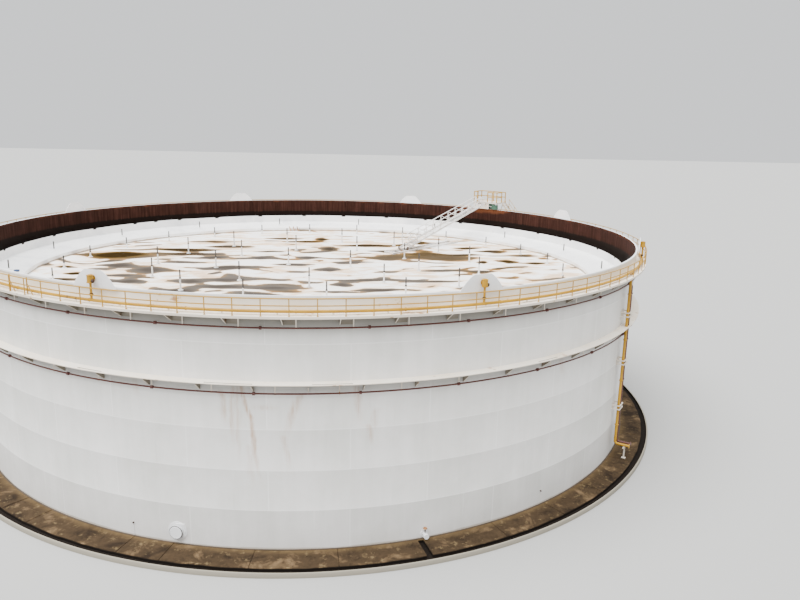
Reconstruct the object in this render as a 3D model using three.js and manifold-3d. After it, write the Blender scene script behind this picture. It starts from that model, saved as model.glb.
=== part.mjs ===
// Floating roof tank, modelled at half size: a welded steel shell with two wind
// girders, an open top, and a pontoon roof that floats up and down inside it.
// Lengths are in millimetres, +Z is up, and the origin is the middle of the
// underside of the ring foundation. Heights in the tables below are measured from
// the top of the foundation. Angles are degrees from +X towards +Y.
import * as THREE from 'three';
import { mergeVertices } from 'three/addons/utils/BufferGeometryUtils.js';
import Module from 'manifold-3d';

const wasm = await Module();
wasm.setup();

// Scale, clearances in millimetres of the model, and the flats of every round wall
const modelScale = 1 / 2;
const m = (metres) => metres * 1000 * modelScale;
const seatGap = 0.3;
const bite = 4;
const meshTolerance = 0.01;
const facets = 48;
const facetAngle = 360 / facets;
const facetPhase = 2;
const seamPhase = facetPhase + 3;

// Driving dimensions, written in metres of the full-size tank
const shell = { radius: 27.43, plate: 0.05, floor: 0.04, top: 14.9, curb: 0.08, segments: 6 };
const foundation = { rise: 0.3, inner: 26.6, apron: 29.28, channel: 29.6, kerb: 29.74, channelDepth: 0.2 };
const girder = {
  top: { z: 14.03, outer: 28.23, lip: 0.2, bracketDepth: 0.62, bracketPhase: -94.14 },
  mid: { z: 10.15, outer: 28.08, lip: 0.16, bracketDepth: 0.5, bracketPhase: -97.5 },
  plate: 0.04,
  nose: 0.1,
  bracket: 0.05,
  brackets: 29,
};
const rail = { radius: 28.17, top: 15.0, mid: 14.6, bar: 0.06, post: 0.048, posts: 60, phase: -93.2 };
const hangers = { phase: 8, step: 24 };
const foamRing = { radius: 27.86, z: 14.22, pipe: 0.065, saddle: 0.035 };
const waterRings = [
  { name: 'top_cooling_water_ring', radius: 27.64, z: 13.26 },
  { name: 'mid_cooling_water_ring', radius: 27.62, z: 9.56 },
];
const waterPipe = 0.055;
const waterHanger = 0.03;
const foamBoards = [19.5, 65.2, 110.6, 154.6, -161, -116.2, -70.8, -25];
const foamBoard = { foot: 2.9, crown: 1.2, bottom: 14.62, top: 15.9, plate: 0.05 };
const foamChamber = { pipe: 0.05, head: 0.17, headFrom: 15.2, headTo: 15.65, neck: 0.1, neckZ: 15.43 };
const riser = {
  radius: 27.86,
  low: 1.1,
  stub: 1.04,
  flange: 0.04,
  brackets: [4.0, 7.5, 11.1],
  bracket: 0.05,
  clearance: 0.03,
  foam: { angle: -37.6, pipe: 0.1 },
  water: { angle: -36.7, pipe: 0.08 },
  support: { radius: 28.55, bar: 0.05, overhang: 0.3 },
};
const flangeReach = 1.5;
const manway = { neck: 0.3, ring: 0.54, cover: 0.45, reach: 0.25 };
const productNozzle = { neck: 0.3, ring: 0.56, cover: 0.465, reach: 0.5 };
const drainNozzle = { neck: 0.1, ring: 0.225, cover: 0.186, reach: 0.4 };
const padPlate = 0.03;
const coverPlate = 0.05;

const roof = {
  deck: 11.47,
  deckPlate: 0.024,
  inner: 24.24,
  outer: 27.12,
  innerTop: 11.85,
  outerTop: 12.4,
  bottom: 11.1,
  plate: 0.04,
  seal: 27.36,
  sealEdge: 0.04,
  sealDepth: 0.14,
};
const dam = { radius: 26.7, top: 13.1, plate: 0.03, flange: 0.2, flangePlate: 0.04 };
const legHeights = { tall: 1.5, short: 0.95, rim: 0.6 };
const legSleeve = 0.08;
const legReach = 1.8;
const legRings = [
  { radius: 2.9, count: 2, phase: -13, kind: 'tall' },
  { radius: 9.2, count: 9, phase: -15, kind: 'tall' },
  { radius: 14.6, count: 15, phase: -16, kind: 'tall' },
  { radius: 22.0, count: 24, phase: 3, kind: 'short' },
];
const rimLegs = { radius: 25.4, count: 16, phase: 11.2 };
const ladder = {
  angle: 44.3,
  pivot: { radius: 27.0, z: 15.55 },
  footRadius: 12.3,
  width: 0.9,
  bar: 0.09,
  overrun: 0.09,
  truss: 1.05,
  trussInset: 0.5,
  bays: 10,
  wheel: 0.18,
  wheelWidth: 0.075,
  axle: 0.03,
  pin: 0.035,
  pinReach: 0.17,
};
const lug = { side: 0.12, half: 0.03, depth: 0.14, tail: 0.3, nose: 0.12, rise: 0.08 };
const track = { from: 9.9, to: 21.5, gauge: 1.1, height: 0.16, width: 0.12, clear: 1.2 };
const tie = { count: 6, inset: 0.3, half: 0.05, halfHeight: 0.04 };
const platform = { from: 39.9, to: 46.9, inner: 27.15, outer: 29.05, top: 15.8, plate: 0.06 };
const platformFrame = { inset: 0.6, end: 0.1, edge: 0.05, depth: 0.12, web: 0.08 };
const platformPost = { radius: 27.66, half: 0.06 };
const platformRail = { mid: 0.6, top: 1.2, half: 0.025, inset: 0.08, corner: 0.15, ladderGap: 1.5 };
const cabinet = { angle: 42.5, radius: 27.83, width: 1.04, depth: 0.38, bottom: 14.4, top: 15.55, leg: 0.03 };
const stair = {
  inner: 28.32,
  outer: 29.0,
  steps: 77,
  going: 0.2,
  drop: 0.3,
  brackets: [2.6, 5.2, 7.8, 11.6],
  bracket: 0.05,
};
const stairRail = { inset: 0.05, height: 1.0, half: 0.025, every: 8 };

// Colours, taken as the eye sees them in daylight
const paint = (color, roughness = 0.6, metalness = 0.1) =>
  new THREE.MeshStandardMaterial({ color, roughness, metalness });
const whitePaint = paint('#dcdcda');
const roofPaint = paint('#e4e1da', 0.7);
const yellowPaint = paint('#d9a514');
const ochrePaint = paint('#d8b878');
const maroonPaint = paint('#6b3038');
const greenPaint = paint('#5f8467');
const concrete = paint('#8f8371', 0.95, 0);
const darkSteel = paint('#4a3b33', 0.85);

const group = new THREE.Group();
const tank = new THREE.Group();
tank.position.z = m(foundation.rise);
group.add(tank);

function addPart(name, geometry, material) {
  const mesh = new THREE.Mesh(geometry, material);
  mesh.name = name;
  tank.add(mesh);
}

// Placing helpers
const rad = (degrees) => (degrees * Math.PI) / 180;
const onCircle = (radius, angle, z) => [radius * Math.cos(rad(angle)), radius * Math.sin(rad(angle)), z];
const fromCorner = (angle) => (((angle - facetPhase) % facetAngle) + facetAngle) % facetAngle;

// The radius at which a ring's flat facet lies, for a ring whose corners are at radius
function facetRadius(radius, angle) {
  return (radius * Math.cos(rad(facetAngle / 2))) / Math.cos(rad(fromCorner(angle) - facetAngle / 2));
}

// Where the end of a radial bar of that half width just clears the ring's facet
function seatRadius(radius, angle, halfWidth) {
  const tilt = Math.abs(fromCorner(angle) - facetAngle / 2);
  return facetRadius(radius, angle) + halfWidth * Math.tan(rad(tilt)) + seatGap;
}

// The four quarters of a ring, and the places of a repeated piece within a stretch
const quadrants = [0, 1, 2, 3].map((i) => [seamPhase + 90 * i, seamPhase + 90 * (i + 1)]);
const seamMargin = 0.3;
const anglesIn = (from, to, phase, step) => {
  const found = [];
  const first = phase + step * Math.ceil((from - phase + seamMargin) / step);
  for (let angle = first; angle < to - seamMargin; angle += step) found.push(angle);
  return found;
};

// Frame of the ladder: distances along its azimuth, sideways, and up
const ladderPlace = (radius, side, z) => [
  radius * Math.cos(rad(ladder.angle)) - side * Math.sin(rad(ladder.angle)),
  radius * Math.sin(rad(ladder.angle)) + side * Math.cos(rad(ladder.angle)),
  z,
];

// Mesh and boolean helpers
function geometryOf(points, faces) {
  const geometry = new THREE.BufferGeometry();
  geometry.setAttribute('position', new THREE.Float32BufferAttribute(points.flat(), 3));
  geometry.setIndex(faces.flat());
  return geometry;
}

function solidOf(geometry) {
  const bare = geometry.clone();
  bare.deleteAttribute('normal');
  bare.deleteAttribute('uv');
  const merged = mergeVertices(bare, 1e-3);
  const vertProperties = new Float32Array(merged.attributes.position.array);
  const triVerts = new Uint32Array(merged.index.array);
  return new wasm.Manifold(new wasm.Mesh({ numProp: 3, vertProperties, triVerts }));
}

function geometryFrom(solid) {
  const mesh = solid.asOriginal().simplify(meshTolerance).getMesh();
  const geometry = new THREE.BufferGeometry();
  geometry.setAttribute('position', new THREE.BufferAttribute(new Float32Array(mesh.vertProperties), 3));
  geometry.setIndex(new THREE.BufferAttribute(new Uint32Array(mesh.triVerts), 1));
  return geometry;
}

const joined = (...pieces) => geometryFrom(pieces.map(solidOf).reduce((whole, piece) => whole.add(piece)));
const cutBy = (body, ...tools) =>
  geometryFrom(tools.map(solidOf).reduce((whole, tool) => whole.subtract(tool), solidOf(body)));

// A profile of [radius, z] corners, counter-clockwise, carried round the axis in flat
// facets. Part of a turn gets end caps, and holes run the length of the profile.
function ringSweep(profile, from = 0, to = 360, holes = []) {
  const closed = to - from >= 360;
  const endTrim = closed ? 0 : (seatGap / 2 / profile[0][0]) * (180 / Math.PI);
  const angles = closed ? [] : [from + endTrim];
  const toCorner = Math.ceil((from - facetPhase + 0.1) / facetAngle);
  const firstCorner = closed ? facetPhase : facetPhase + facetAngle * toCorner;
  for (let angle = firstCorner; closed ? angles.length < facets : angle < to - 0.1; angle += facetAngle) {
    angles.push(angle);
  }
  if (!closed) angles.push(to - endTrim);
  const loops = [profile, ...holes];
  const corners = loops.flat();
  const onGrid = (angle) => closed || Math.abs(((angle - facetPhase) / facetAngle) % 1) < 1e-3;
  const points = angles.flatMap((angle) =>
    corners.map(([radius, z]) => onCircle(onGrid(angle) ? radius : facetRadius(radius, angle), angle, z)));
  const faces = [];
  const bands = closed ? angles.length : angles.length - 1;
  for (let band = 0; band < bands; band++) {
    const here = band * corners.length;
    const next = ((band + 1) % angles.length) * corners.length;
    let start = 0;
    for (const loop of loops) {
      for (let i = 0; i < loop.length; i++) {
        const a = start + i;
        const b = start + ((i + 1) % loop.length);
        faces.push([here + a, next + b, here + b], [here + a, next + a, next + b]);
      }
      start += loop.length;
    }
  }
  if (!closed) {
    const toVectors = (loop) => loop.map(([radius, z]) => new THREE.Vector2(radius, z));
    const cap = THREE.ShapeUtils.triangulateShape(toVectors(profile), holes.map(toVectors));
    const last = (angles.length - 1) * corners.length;
    for (const [a, b, c] of cap) faces.push([a, b, c], [last + a, last + c, last + b]);
  }
  return geometryOf(points, faces);
}

// A faceted disc between two heights
function disc(radius, low, high) {
  const points = [];
  for (const z of [low, high]) {
    for (let i = 0; i < facets; i++) points.push(onCircle(radius, facetPhase + i * facetAngle, z));
  }
  const faces = [];
  for (let i = 0; i < facets; i++) {
    const next = (i + 1) % facets;
    faces.push([i, next, facets + next], [i, facets + next, facets + i]);
    if (i > 0 && i < facets - 1) faces.push([0, i + 1, i], [facets, facets + i, facets + i + 1]);
  }
  return geometryOf(points, faces);
}

// A flat plate that covers part of a ring, its curved edges cut into short chords
function sector(inner, outer, from, to, low, high) {
  const steps = 3;
  const points = [];
  for (let i = 0; i <= steps; i++) {
    const angle = from + ((to - from) * i) / steps;
    points.push(onCircle(inner, angle, low), onCircle(outer, angle, low));
    points.push(onCircle(outer, angle, high), onCircle(inner, angle, high));
  }
  const faces = [];
  for (let i = 0; i < steps; i++) {
    const here = i * 4;
    for (let j = 0; j < 4; j++) {
      const next = (j + 1) % 4;
      faces.push([here + j, here + 4 + next, here + next], [here + j, here + 4 + j, here + 4 + next]);
    }
  }
  const last = steps * 4;
  faces.push([0, 1, 2], [0, 2, 3], [last, last + 2, last + 1], [last, last + 3, last + 2]);
  return geometryOf(points, faces);
}

// A straight prism from one point to another, with a polygon section. A square bar
// keeps its flats level.
function bar(from, to, halfWidth, sides = 4, halfHeight = halfWidth) {
  const start = new THREE.Vector3(...from);
  const along = new THREE.Vector3(...to).sub(start);
  const length = along.length();
  along.normalize();
  const upright = Math.abs(along.z) > 0.99;
  const across = upright
    ? new THREE.Vector3(-start.y, start.x, 0).normalize()
    : new THREE.Vector3().crossVectors(new THREE.Vector3(0, 0, 1), along).normalize();
  const rise = new THREE.Vector3().crossVectors(along, across);
  const reach = sides === 4 ? Math.SQRT2 : 1;
  const points = [];
  for (const distance of [0, length]) {
    for (let i = 0; i < sides; i++) {
      const turn = (2 * Math.PI * (i + 0.5)) / sides;
      points.push(start.clone().addScaledVector(along, distance)
        .addScaledVector(across, reach * halfWidth * Math.cos(turn))
        .addScaledVector(rise, reach * halfHeight * Math.sin(turn)).toArray());
    }
  }
  const faces = [];
  for (let i = 0; i < sides; i++) {
    const next = (i + 1) % sides;
    faces.push([i, next, sides + next], [i, sides + next, sides + i]);
  }
  for (let i = 1; i < sides - 1; i++) faces.push([0, i + 1, i], [sides, sides + i, sides + i + 1]);
  return geometryOf(points, faces);
}

// A flat plate: corners given as [along, z] in the upright radial plane at an angle,
// with its thickness across that plane
function radialPlate(corners, angle, thickness) {
  const side = [-Math.sin(rad(angle)), Math.cos(rad(angle))];
  const points = [-1, 1].flatMap((sign) => corners.map(([radius, z]) => {
    const [x, y] = onCircle(radius, angle, z);
    return [x + (sign * side[0] * thickness) / 2, y + (sign * side[1] * thickness) / 2, z];
  }));
  const count = corners.length;
  const faces = [];
  for (let i = 1; i < count - 1; i++) faces.push([0, i, i + 1], [count, count + i + 1, count + i]);
  for (let i = 0; i < count; i++) {
    const next = (i + 1) % count;
    faces.push([i, count + next, next], [i, count + i, count + next]);
  }
  return geometryOf(points, faces);
}

// A round pipe's section as [radius, z] corners
function pipeSection(radius, z, pipeRadius, sides) {
  return Array.from({ length: sides }, (_, i) => {
    const turn = (2 * Math.PI * (i + 0.5)) / sides;
    return [radius + pipeRadius * Math.cos(turn), z + pipeRadius * Math.sin(turn)];
  });
}

// Ring foundation: a concrete ring with a level apron, an open drain channel and a
// low kerb, and the compacted pad inside it
function addFoundation() {
  const under = -m(foundation.rise);
  const channelFloor = -m(foundation.channelDepth);
  addPart('ring_foundation', ringSweep([
    [m(foundation.inner), under],
    [m(foundation.kerb), under],
    [m(foundation.kerb), 0],
    [m(foundation.channel), 0],
    [m(foundation.channel), channelFloor],
    [m(foundation.apron), channelFloor],
    [m(foundation.apron), 0],
    [m(foundation.inner), 0],
  ]), concrete);
  addPart('foundation_pad', disc(m(foundation.inner) - seatGap, under, 0), concrete);
  addPart('bottom_plate', disc(m(shell.radius - shell.plate) - seatGap, seatGap, m(shell.floor)), darkSteel);
}

// Shell: six curved segments, each with its length of the curb angle along the rim
function addShell() {
  const outer = m(shell.radius);
  const inner = outer - m(shell.plate);
  const rim = m(shell.top);
  const curb = m(shell.curb);
  const span = 360 / shell.segments;
  for (let i = 0; i < shell.segments; i++) {
    const from = seamPhase + i * span;
    addPart(`shell_segment_${i + 1}`, ringSweep([
      [inner, seatGap],
      [outer, seatGap],
      [outer, rim],
      [outer + curb, rim],
      [outer + curb, rim + curb],
      [inner, rim + curb],
    ], from, from + span), whitePaint);
  }
}

// Wind girders: a plate round the shell with a turned-down outer lip, carried by
// triangular brackets, with a hole for each riser that passes through
function addGirder(name, size, risers) {
  const inner = m(shell.radius) + seatGap;
  const top = m(size.z);
  const under = top - m(girder.plate);
  const outer = m(size.outer);
  const lipInner = outer - m(girder.plate);
  const clearance = m(riser.clearance);
  quadrants.forEach(([from, to], i) => {
    const plate = ringSweep([
      [inner, under],
      [lipInner, under],
      [lipInner, top - m(size.lip)],
      [outer, top - m(size.lip)],
      [outer, top],
      [inner, top],
    ], from, to);
    const brackets = anglesIn(from, to, size.bracketPhase, 360 / girder.brackets).map((angle) => {
      const back = seatRadius(m(shell.radius), angle, m(girder.bracket) / 2);
      const nose = facetRadius(lipInner, angle) + bite / 2;
      return radialPlate([
        [back, under + bite],
        [back, under - m(size.bracketDepth)],
        [nose, under - m(girder.nose)],
        [nose, under + bite],
      ], angle, m(girder.bracket));
    });
    const holes = risers.flatMap((pipe) => anglesIn(from, to, pipe.angle, 360).map((angle) => {
      const low = onCircle(m(riser.radius), angle, under - clearance);
      const high = onCircle(m(riser.radius), angle, top + clearance);
      return bar(low, high, m(pipe.pipe) + clearance, 12);
    }));
    addPart(`${name}_${i + 1}`, cutBy(joined(plate, ...brackets), ...holes), whitePaint);
  });
}

// Walkway handrail: posts on the top girder, a top rail and a mid rail
function addHandrail() {
  const half = m(rail.bar) / 2;
  const foot = m(girder.top.z) + seatGap;
  const tube = (z) => [
    [m(rail.radius) - half, m(z) - half],
    [m(rail.radius) + half, m(z) - half],
    [m(rail.radius) + half, m(z) + half],
    [m(rail.radius) - half, m(z) + half],
  ];
  quadrants.forEach(([from, to], i) => {
    const posts = anglesIn(from, to, rail.phase, 360 / rail.posts).map((angle) => {
      const spot = (z) => onCircle(facetRadius(m(rail.radius), angle), angle, z);
      return bar(spot(foot), spot(m(rail.top) - half / 2), m(rail.post) / 2);
    });
    addPart(`walkway_rail_${i + 1}`,
      joined(ringSweep(tube(rail.top), from, to), ringSweep(tube(rail.mid), from, to), ...posts), ochrePaint);
  });
}

// Foam boards: tapered plates on the rim that throw the foam down the inner wall
const boardRadius = (angle) => seatRadius(m(shell.radius + shell.curb), angle, m(foamBoard.foot) / 2);

function addFoamBoards() {
  foamBoards.forEach((angle, i) => {
    const outward = [Math.cos(rad(angle)), Math.sin(rad(angle))];
    const place = (along, radius, z) =>
      [radius * outward[0] - along * outward[1], radius * outward[1] + along * outward[0], z];
    const outline = [
      [-m(foamBoard.foot) / 2, m(foamBoard.bottom)],
      [m(foamBoard.foot) / 2, m(foamBoard.bottom)],
      [m(foamBoard.foot) / 2, m(shell.top)],
      [m(foamBoard.crown) / 2, m(foamBoard.top)],
      [-m(foamBoard.crown) / 2, m(foamBoard.top)],
      [-m(foamBoard.foot) / 2, m(shell.top)],
    ];
    const radius = boardRadius(angle);
    const points = [radius, radius + m(foamBoard.plate)].flatMap((at) =>
      outline.map(([along, z]) => place(along, at, z)));
    const count = outline.length;
    const faces = [];
    for (let j = 1; j < count - 1; j++) faces.push([0, j + 1, j], [count, count + j, count + j + 1]);
    for (let j = 0; j < count; j++) {
      const next = (j + 1) % count;
      faces.push([j, next, count + next], [j, count + next, count + j]);
    }
    addPart(`foam_board_${i + 1}`, geometryOf(points, faces), whitePaint);
  });
}

// Foam main round the walkway, on low saddles, with a pipe up to a foam chamber
// behind each board
function addFoamRing() {
  const ring = ringSweep(pipeSection(m(foamRing.radius), m(foamRing.z), m(foamRing.pipe), 5));
  const foot = m(girder.top.z) + seatGap;
  const saddles = anglesIn(0, 360, hangers.phase, hangers.step).map((angle) => {
    const radius = facetRadius(m(foamRing.radius), angle);
    return bar(onCircle(radius, angle, foot), onCircle(radius, angle, m(foamRing.z)), m(foamRing.saddle));
  });
  const chambers = foamBoards.flatMap((angle) => {
    const spot = (z) => onCircle(facetRadius(m(foamRing.radius), angle), angle, m(z));
    const boardFace = boardRadius(angle) + m(foamBoard.plate) + seatGap;
    return [
      bar(spot(foamRing.z), spot(foamChamber.neckZ), m(foamChamber.pipe), 6),
      bar(spot(foamChamber.headFrom), spot(foamChamber.headTo), m(foamChamber.head), 8),
      bar(onCircle(boardFace, angle, m(foamChamber.neckZ)), spot(foamChamber.neckZ), m(foamChamber.neck), 6),
    ];
  });
  addPart('foam_ring_main', joined(ring, ...saddles, ...chambers), yellowPaint);
}

// Cooling water rings under the girders, on hangers that reach the shell
function addWaterRings() {
  for (const ring of waterRings) {
    const pipe = ringSweep(pipeSection(m(ring.radius), m(ring.z), m(waterPipe), 4));
    const arms = anglesIn(0, 360, hangers.phase, hangers.step).map((angle) => {
      const seat = seatRadius(m(shell.radius), angle, m(waterHanger));
      const spot = (radius) => onCircle(radius, angle, m(ring.z));
      return bar(spot(seat), spot(m(ring.radius)), m(waterHanger));
    });
    addPart(ring.name, joined(pipe, ...arms), maroonPaint);
  }
}

// Risers: the foam and cooling water pipes climb the shell side by side, through the
// girders, and turn outward over the apron at their foot. The foam riser's foot has a
// T-shaped support that both pipes lie on.
function addRisers() {
  const radius = m(riser.radius);
  const low = m(riser.low);
  const face = m(riser.radius + riser.stub);
  const build = ({ angle, pipe }, top) => {
    const round = m(pipe);
    const brackets = riser.brackets.map((z) => {
      const seat = seatRadius(m(shell.radius), angle, m(riser.bracket));
      return bar(onCircle(seat, angle, m(z)), onCircle(radius, angle, m(z)), m(riser.bracket));
    });
    return [
      bar(onCircle(radius, angle, low - round), onCircle(radius, angle, top), round, 8),
      bar(onCircle(radius, angle, low), onCircle(face, angle, low), round, 8),
      bar(onCircle(face, angle, low), onCircle(face + m(riser.flange), angle, low), round * flangeReach, 8),
      ...brackets,
    ];
  };
  const { support, foam, water } = riser;
  const half = m(support.bar);
  const beamZ = low - m(water.pipe) * Math.cos(rad(22.5)) - seatGap - half;
  const spot = (angle, z) => onCircle(m(support.radius), angle, z);
  const middle = (foam.angle + water.angle) / 2;
  addPart('foam_riser', joined(
    ...build(foam, m(foamRing.z - foamRing.pipe) - seatGap),
    bar(spot(middle, seatGap), spot(middle, beamZ), half),
    bar(spot(foam.angle - support.overhang, beamZ), spot(water.angle + support.overhang, beamZ), half),
  ), yellowPaint);
  const branches = waterRings.map((ring) => {
    const flat = m(ring.radius) + m(waterPipe) * Math.SQRT1_2;
    const branch = (distance) => onCircle(distance, water.angle, m(ring.z));
    return bar(branch(radius), branch(seatRadius(flat, water.angle, m(waterPipe))), m(waterPipe), 8);
  });
  const waterTop = m(waterRings[0].z + waterPipe);
  addPart('cooling_water_riser', joined(...build(water, waterTop), ...branches), maroonPaint);
}

// Shell fittings near the ground: a neck with a pad on the shell and a cover or flange
function addFitting(name, angle, z, size, material = whitePaint) {
  const start = seatRadius(m(shell.radius), angle, m(size.ring));
  const spot = (radius) => onCircle(radius, angle, m(z));
  const face = start + m(size.reach);
  addPart(name, joined(
    bar(spot(start), spot(start + m(padPlate)), m(size.ring), 12),
    bar(spot(start), spot(face), m(size.neck), 12),
    bar(spot(face - bite), spot(face + m(coverPlate)), m(size.cover), 12),
  ), material);
}

addFoundation();
addShell();
addGirder('top_girder', girder.top, [riser.foam]);
addGirder('mid_girder', girder.mid, [riser.foam, riser.water]);
addHandrail();
addFoamRing();
addWaterRings();
addFoamBoards();
addRisers();
addFitting('shell_manway_1', -107.6, 0.75, manway);
addFitting('shell_manway_2', 72.4, 0.75, manway);
addFitting('water_draw_nozzle', -77.1, 0.28, drainNozzle, darkSteel);
addFitting('product_nozzle_1', 128, 0.8, productNozzle);
addFitting('product_nozzle_2', 134, 0.8, productNozzle);

// Floating roof: deck with its legs, which leave the ladder's track clear
function addDeck() {
  const top = m(roof.deck);
  const under = top - m(roof.deckPlate);
  const plate = disc(m(roof.inner) - seatGap, under, top);
  const legs = [];
  for (const ring of legRings) {
    for (let i = 0; i < ring.count; i++) {
      const angle = ring.phase + (i * 360) / ring.count;
      const offTrack = Math.abs(Math.sin(rad(angle - ladder.angle))) * ring.radius;
      const ahead = Math.cos(rad(angle - ladder.angle)) > 0;
      if (ahead && offTrack < track.clear) continue;
      const spot = (z) => onCircle(m(ring.radius), angle, z);
      legs.push(bar(spot(under + bite), spot(top + m(legHeights[ring.kind])), m(legSleeve)));
    }
  }
  addPart('roof_deck', joined(plate, ...legs), roofPaint);
}

// Pontoon: a hollow ring of plate in quadrants, open at their ends, with the rim
// seal's lip and the rim legs
const pontoonSlope = (roof.outerTop - roof.innerTop) / (roof.outer - roof.inner);
const pontoonTop = (radius) => roof.innerTop + pontoonSlope * (radius - roof.inner);

function addPontoon() {
  const wall = m(roof.plate);
  const section = [
    [m(roof.inner), m(roof.bottom)],
    [m(roof.outer), m(roof.bottom)],
    [m(roof.outer), m(roof.outerTop - roof.sealDepth)],
    [m(roof.seal), m(roof.outerTop - roof.sealEdge)],
    [m(roof.seal), m(roof.outerTop)],
    [m(roof.outer), m(roof.outerTop)],
    [m(roof.inner), m(roof.innerTop)],
  ];
  const hollow = [
    [m(roof.inner) + wall, m(roof.bottom) + wall],
    [m(roof.inner) + wall, m(roof.innerTop) + pontoonSlope * wall - wall],
    [m(roof.outer) - wall, m(roof.outerTop) - pontoonSlope * wall - wall],
    [m(roof.outer) - wall, m(roof.bottom) + wall],
  ];
  quadrants.forEach(([from, to], i) => {
    const legs = anglesIn(from, to, rimLegs.phase, 360 / rimLegs.count).map((angle) => {
      const spot = (z) => onCircle(m(rimLegs.radius), angle, m(z));
      return bar(spot(roof.deck - legReach), spot(pontoonTop(rimLegs.radius) + legHeights.rim), m(legSleeve));
    });
    addPart(`roof_pontoon_${i + 1}`, joined(ringSweep(section, from, to, [hollow]), ...legs), roofPaint);
  });
}

// Foam dam: an upright plate round the pontoon that holds the foam over the rim seal
function addFoamDam() {
  const footAt = (radius) => m(pontoonTop(radius)) + seatGap;
  const inner = dam.radius - dam.plate;
  const flange = dam.radius - dam.flange;
  quadrants.forEach(([from, to], i) => {
    addPart(`foam_dam_${i + 1}`, ringSweep([
      [m(flange), footAt(flange)],
      [m(dam.radius), footAt(dam.radius)],
      [m(dam.radius), m(dam.top)],
      [m(inner), m(dam.top)],
      [m(inner), footAt(inner) + m(dam.flangePlate)],
      [m(flange), footAt(flange) + m(dam.flangePlate)],
    ], from, to), roofPaint);
  });
}

// Track on the deck that the ladder's wheels run on: two rails with cross ties
function addTrack() {
  const foot = m(roof.deck) + seatGap;
  const mid = foot + m(track.height) / 2;
  const line = (side) => {
    const ends = [track.from, track.to].map((radius) => ladderPlace(m(radius), side, mid));
    return bar(...ends, m(track.width) / 2, 4, m(track.height) / 2);
  };
  const reach = m(track.gauge) / 2;
  const ties = [];
  for (let i = 0; i < tie.count; i++) {
    const at = m(track.from + tie.inset + ((track.to - track.from - 2 * tie.inset) * i) / (tie.count - 1));
    const ends = [-reach, reach].map((side) => ladderPlace(at, side, foot + m(tie.halfHeight)));
    ties.push(bar(...ends, m(tie.half), 4, m(tie.halfHeight)));
  }
  addPart('ladder_track', joined(line(-reach), line(reach), ...ties), roofPaint);
}

// Rolling ladder: a walkway truss hung from the platform, with an axle and two
// wheels at its foot
function addLadder() {
  const axleZ = m(roof.deck) + seatGap + m(track.height) + m(ladder.wheel) + seatGap;
  const start = new THREE.Vector2(m(ladder.pivot.radius), m(ladder.pivot.z));
  const end = new THREE.Vector2(m(ladder.footRadius), axleZ);
  const along = end.clone().sub(start);
  const length = along.length();
  along.normalize();
  const up = new THREE.Vector2(along.y, -along.x);
  const place = (distance, height, side) => {
    const spot = start.clone().addScaledVector(along, distance).addScaledVector(up, height);
    return ladderPlace(spot.x, side, spot.y);
  };
  const half = m(ladder.bar) / 2;
  const side = m(ladder.width) / 2;
  const overrun = m(ladder.overrun);
  const height = m(ladder.truss);
  const trussFrom = m(ladder.trussInset);
  const trussSpan = length - 2 * trussFrom;
  const pieces = [];
  for (const at of [-side, side]) {
    const chordStart = place(trussFrom - overrun, height, at);
    const chordEnd = place(trussFrom + trussSpan + overrun, height, at);
    pieces.push(bar(place(-overrun, 0, at), place(length + overrun, 0, at), half));
    pieces.push(bar(chordStart, chordEnd, half * 0.7));
    for (let i = 0; i <= ladder.bays; i++) {
      const distance = trussFrom + (trussSpan * i) / ladder.bays;
      pieces.push(bar(place(distance, bite, at), place(distance, height, at), half * 0.5));
    }
  }
  for (let i = 0; i <= ladder.bays; i++) {
    const distance = trussFrom + (trussSpan * (i + 0.5)) / (ladder.bays + 1);
    pieces.push(bar(place(distance, 0, -side), place(distance, 0, side), half * 1.6, 4, half * 0.6));
  }
  const wheelSide = m(track.gauge) / 2;
  const halfWheel = m(ladder.wheelWidth) / 2;
  const axleEnd = wheelSide + 2 * halfWheel;
  pieces.push(bar(place(length, 0, -axleEnd), place(length, 0, axleEnd), m(ladder.axle), 8));
  for (const at of [-wheelSide, wheelSide]) {
    pieces.push(bar(place(length, 0, at - halfWheel), place(length, 0, at + halfWheel), m(ladder.wheel), 14));
  }
  const pinEnd = side + m(ladder.pinReach);
  pieces.push(bar(place(0, 0, -pinEnd), place(0, 0, pinEnd), m(ladder.pin), 12));
  addPart('rolling_ladder', joined(...pieces), whitePaint);
}

addDeck();
addPontoon();
addFoamDam();
addTrack();
addLadder();

// Gauger's platform over the rim, on two posts from the walkway, with the lugs that
// carry the ladder's pivot
function addPlatform() {
  const top = m(platform.top);
  const under = top - m(platform.plate);
  const plate = sector(m(platform.inner), m(platform.outer), platform.from, platform.to, under, top);
  const { inset, end, edge, depth, web } = platformFrame;
  const frame = [platform.from + inset, platform.to - inset].flatMap((angle) => {
    const spot = (z) => onCircle(m(platformPost.radius), angle, z);
    return [
      radialPlate([
        [m(platform.inner + end), under + bite],
        [m(platform.inner + end), under - m(edge)],
        [m(platformPost.radius), under - m(depth)],
        [m(platform.outer - end), under - m(edge)],
        [m(platform.outer - end), under + bite],
      ], angle, m(web)),
      bar(spot(m(girder.top.z) + seatGap), spot(under + bite), m(platformPost.half)),
    ];
  });
  const { radius, z } = ladder.pivot;
  const lugs = [-1, 1].map((sign) => {
    const side = sign * m(ladder.width / 2 + lug.side);
    const tail = ladderPlace(m(platform.inner + lug.tail), side, m(z + lug.rise));
    const nose = ladderPlace(m(radius - lug.nose), side, m(z));
    return bar(tail, nose, m(lug.half), 4, m(lug.depth));
  });
  const boreRadius = (m(ladder.pin) + seatGap) / Math.cos(rad(15));
  const reach = m(ladder.width);
  const bore = bar(ladderPlace(m(radius), -reach, m(z)), ladderPlace(m(radius), reach, m(z)), boreRadius, 12);
  addPart('gauger_platform', cutBy(joined(plate, ...frame, ...lugs), bore), whitePaint);
}

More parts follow.
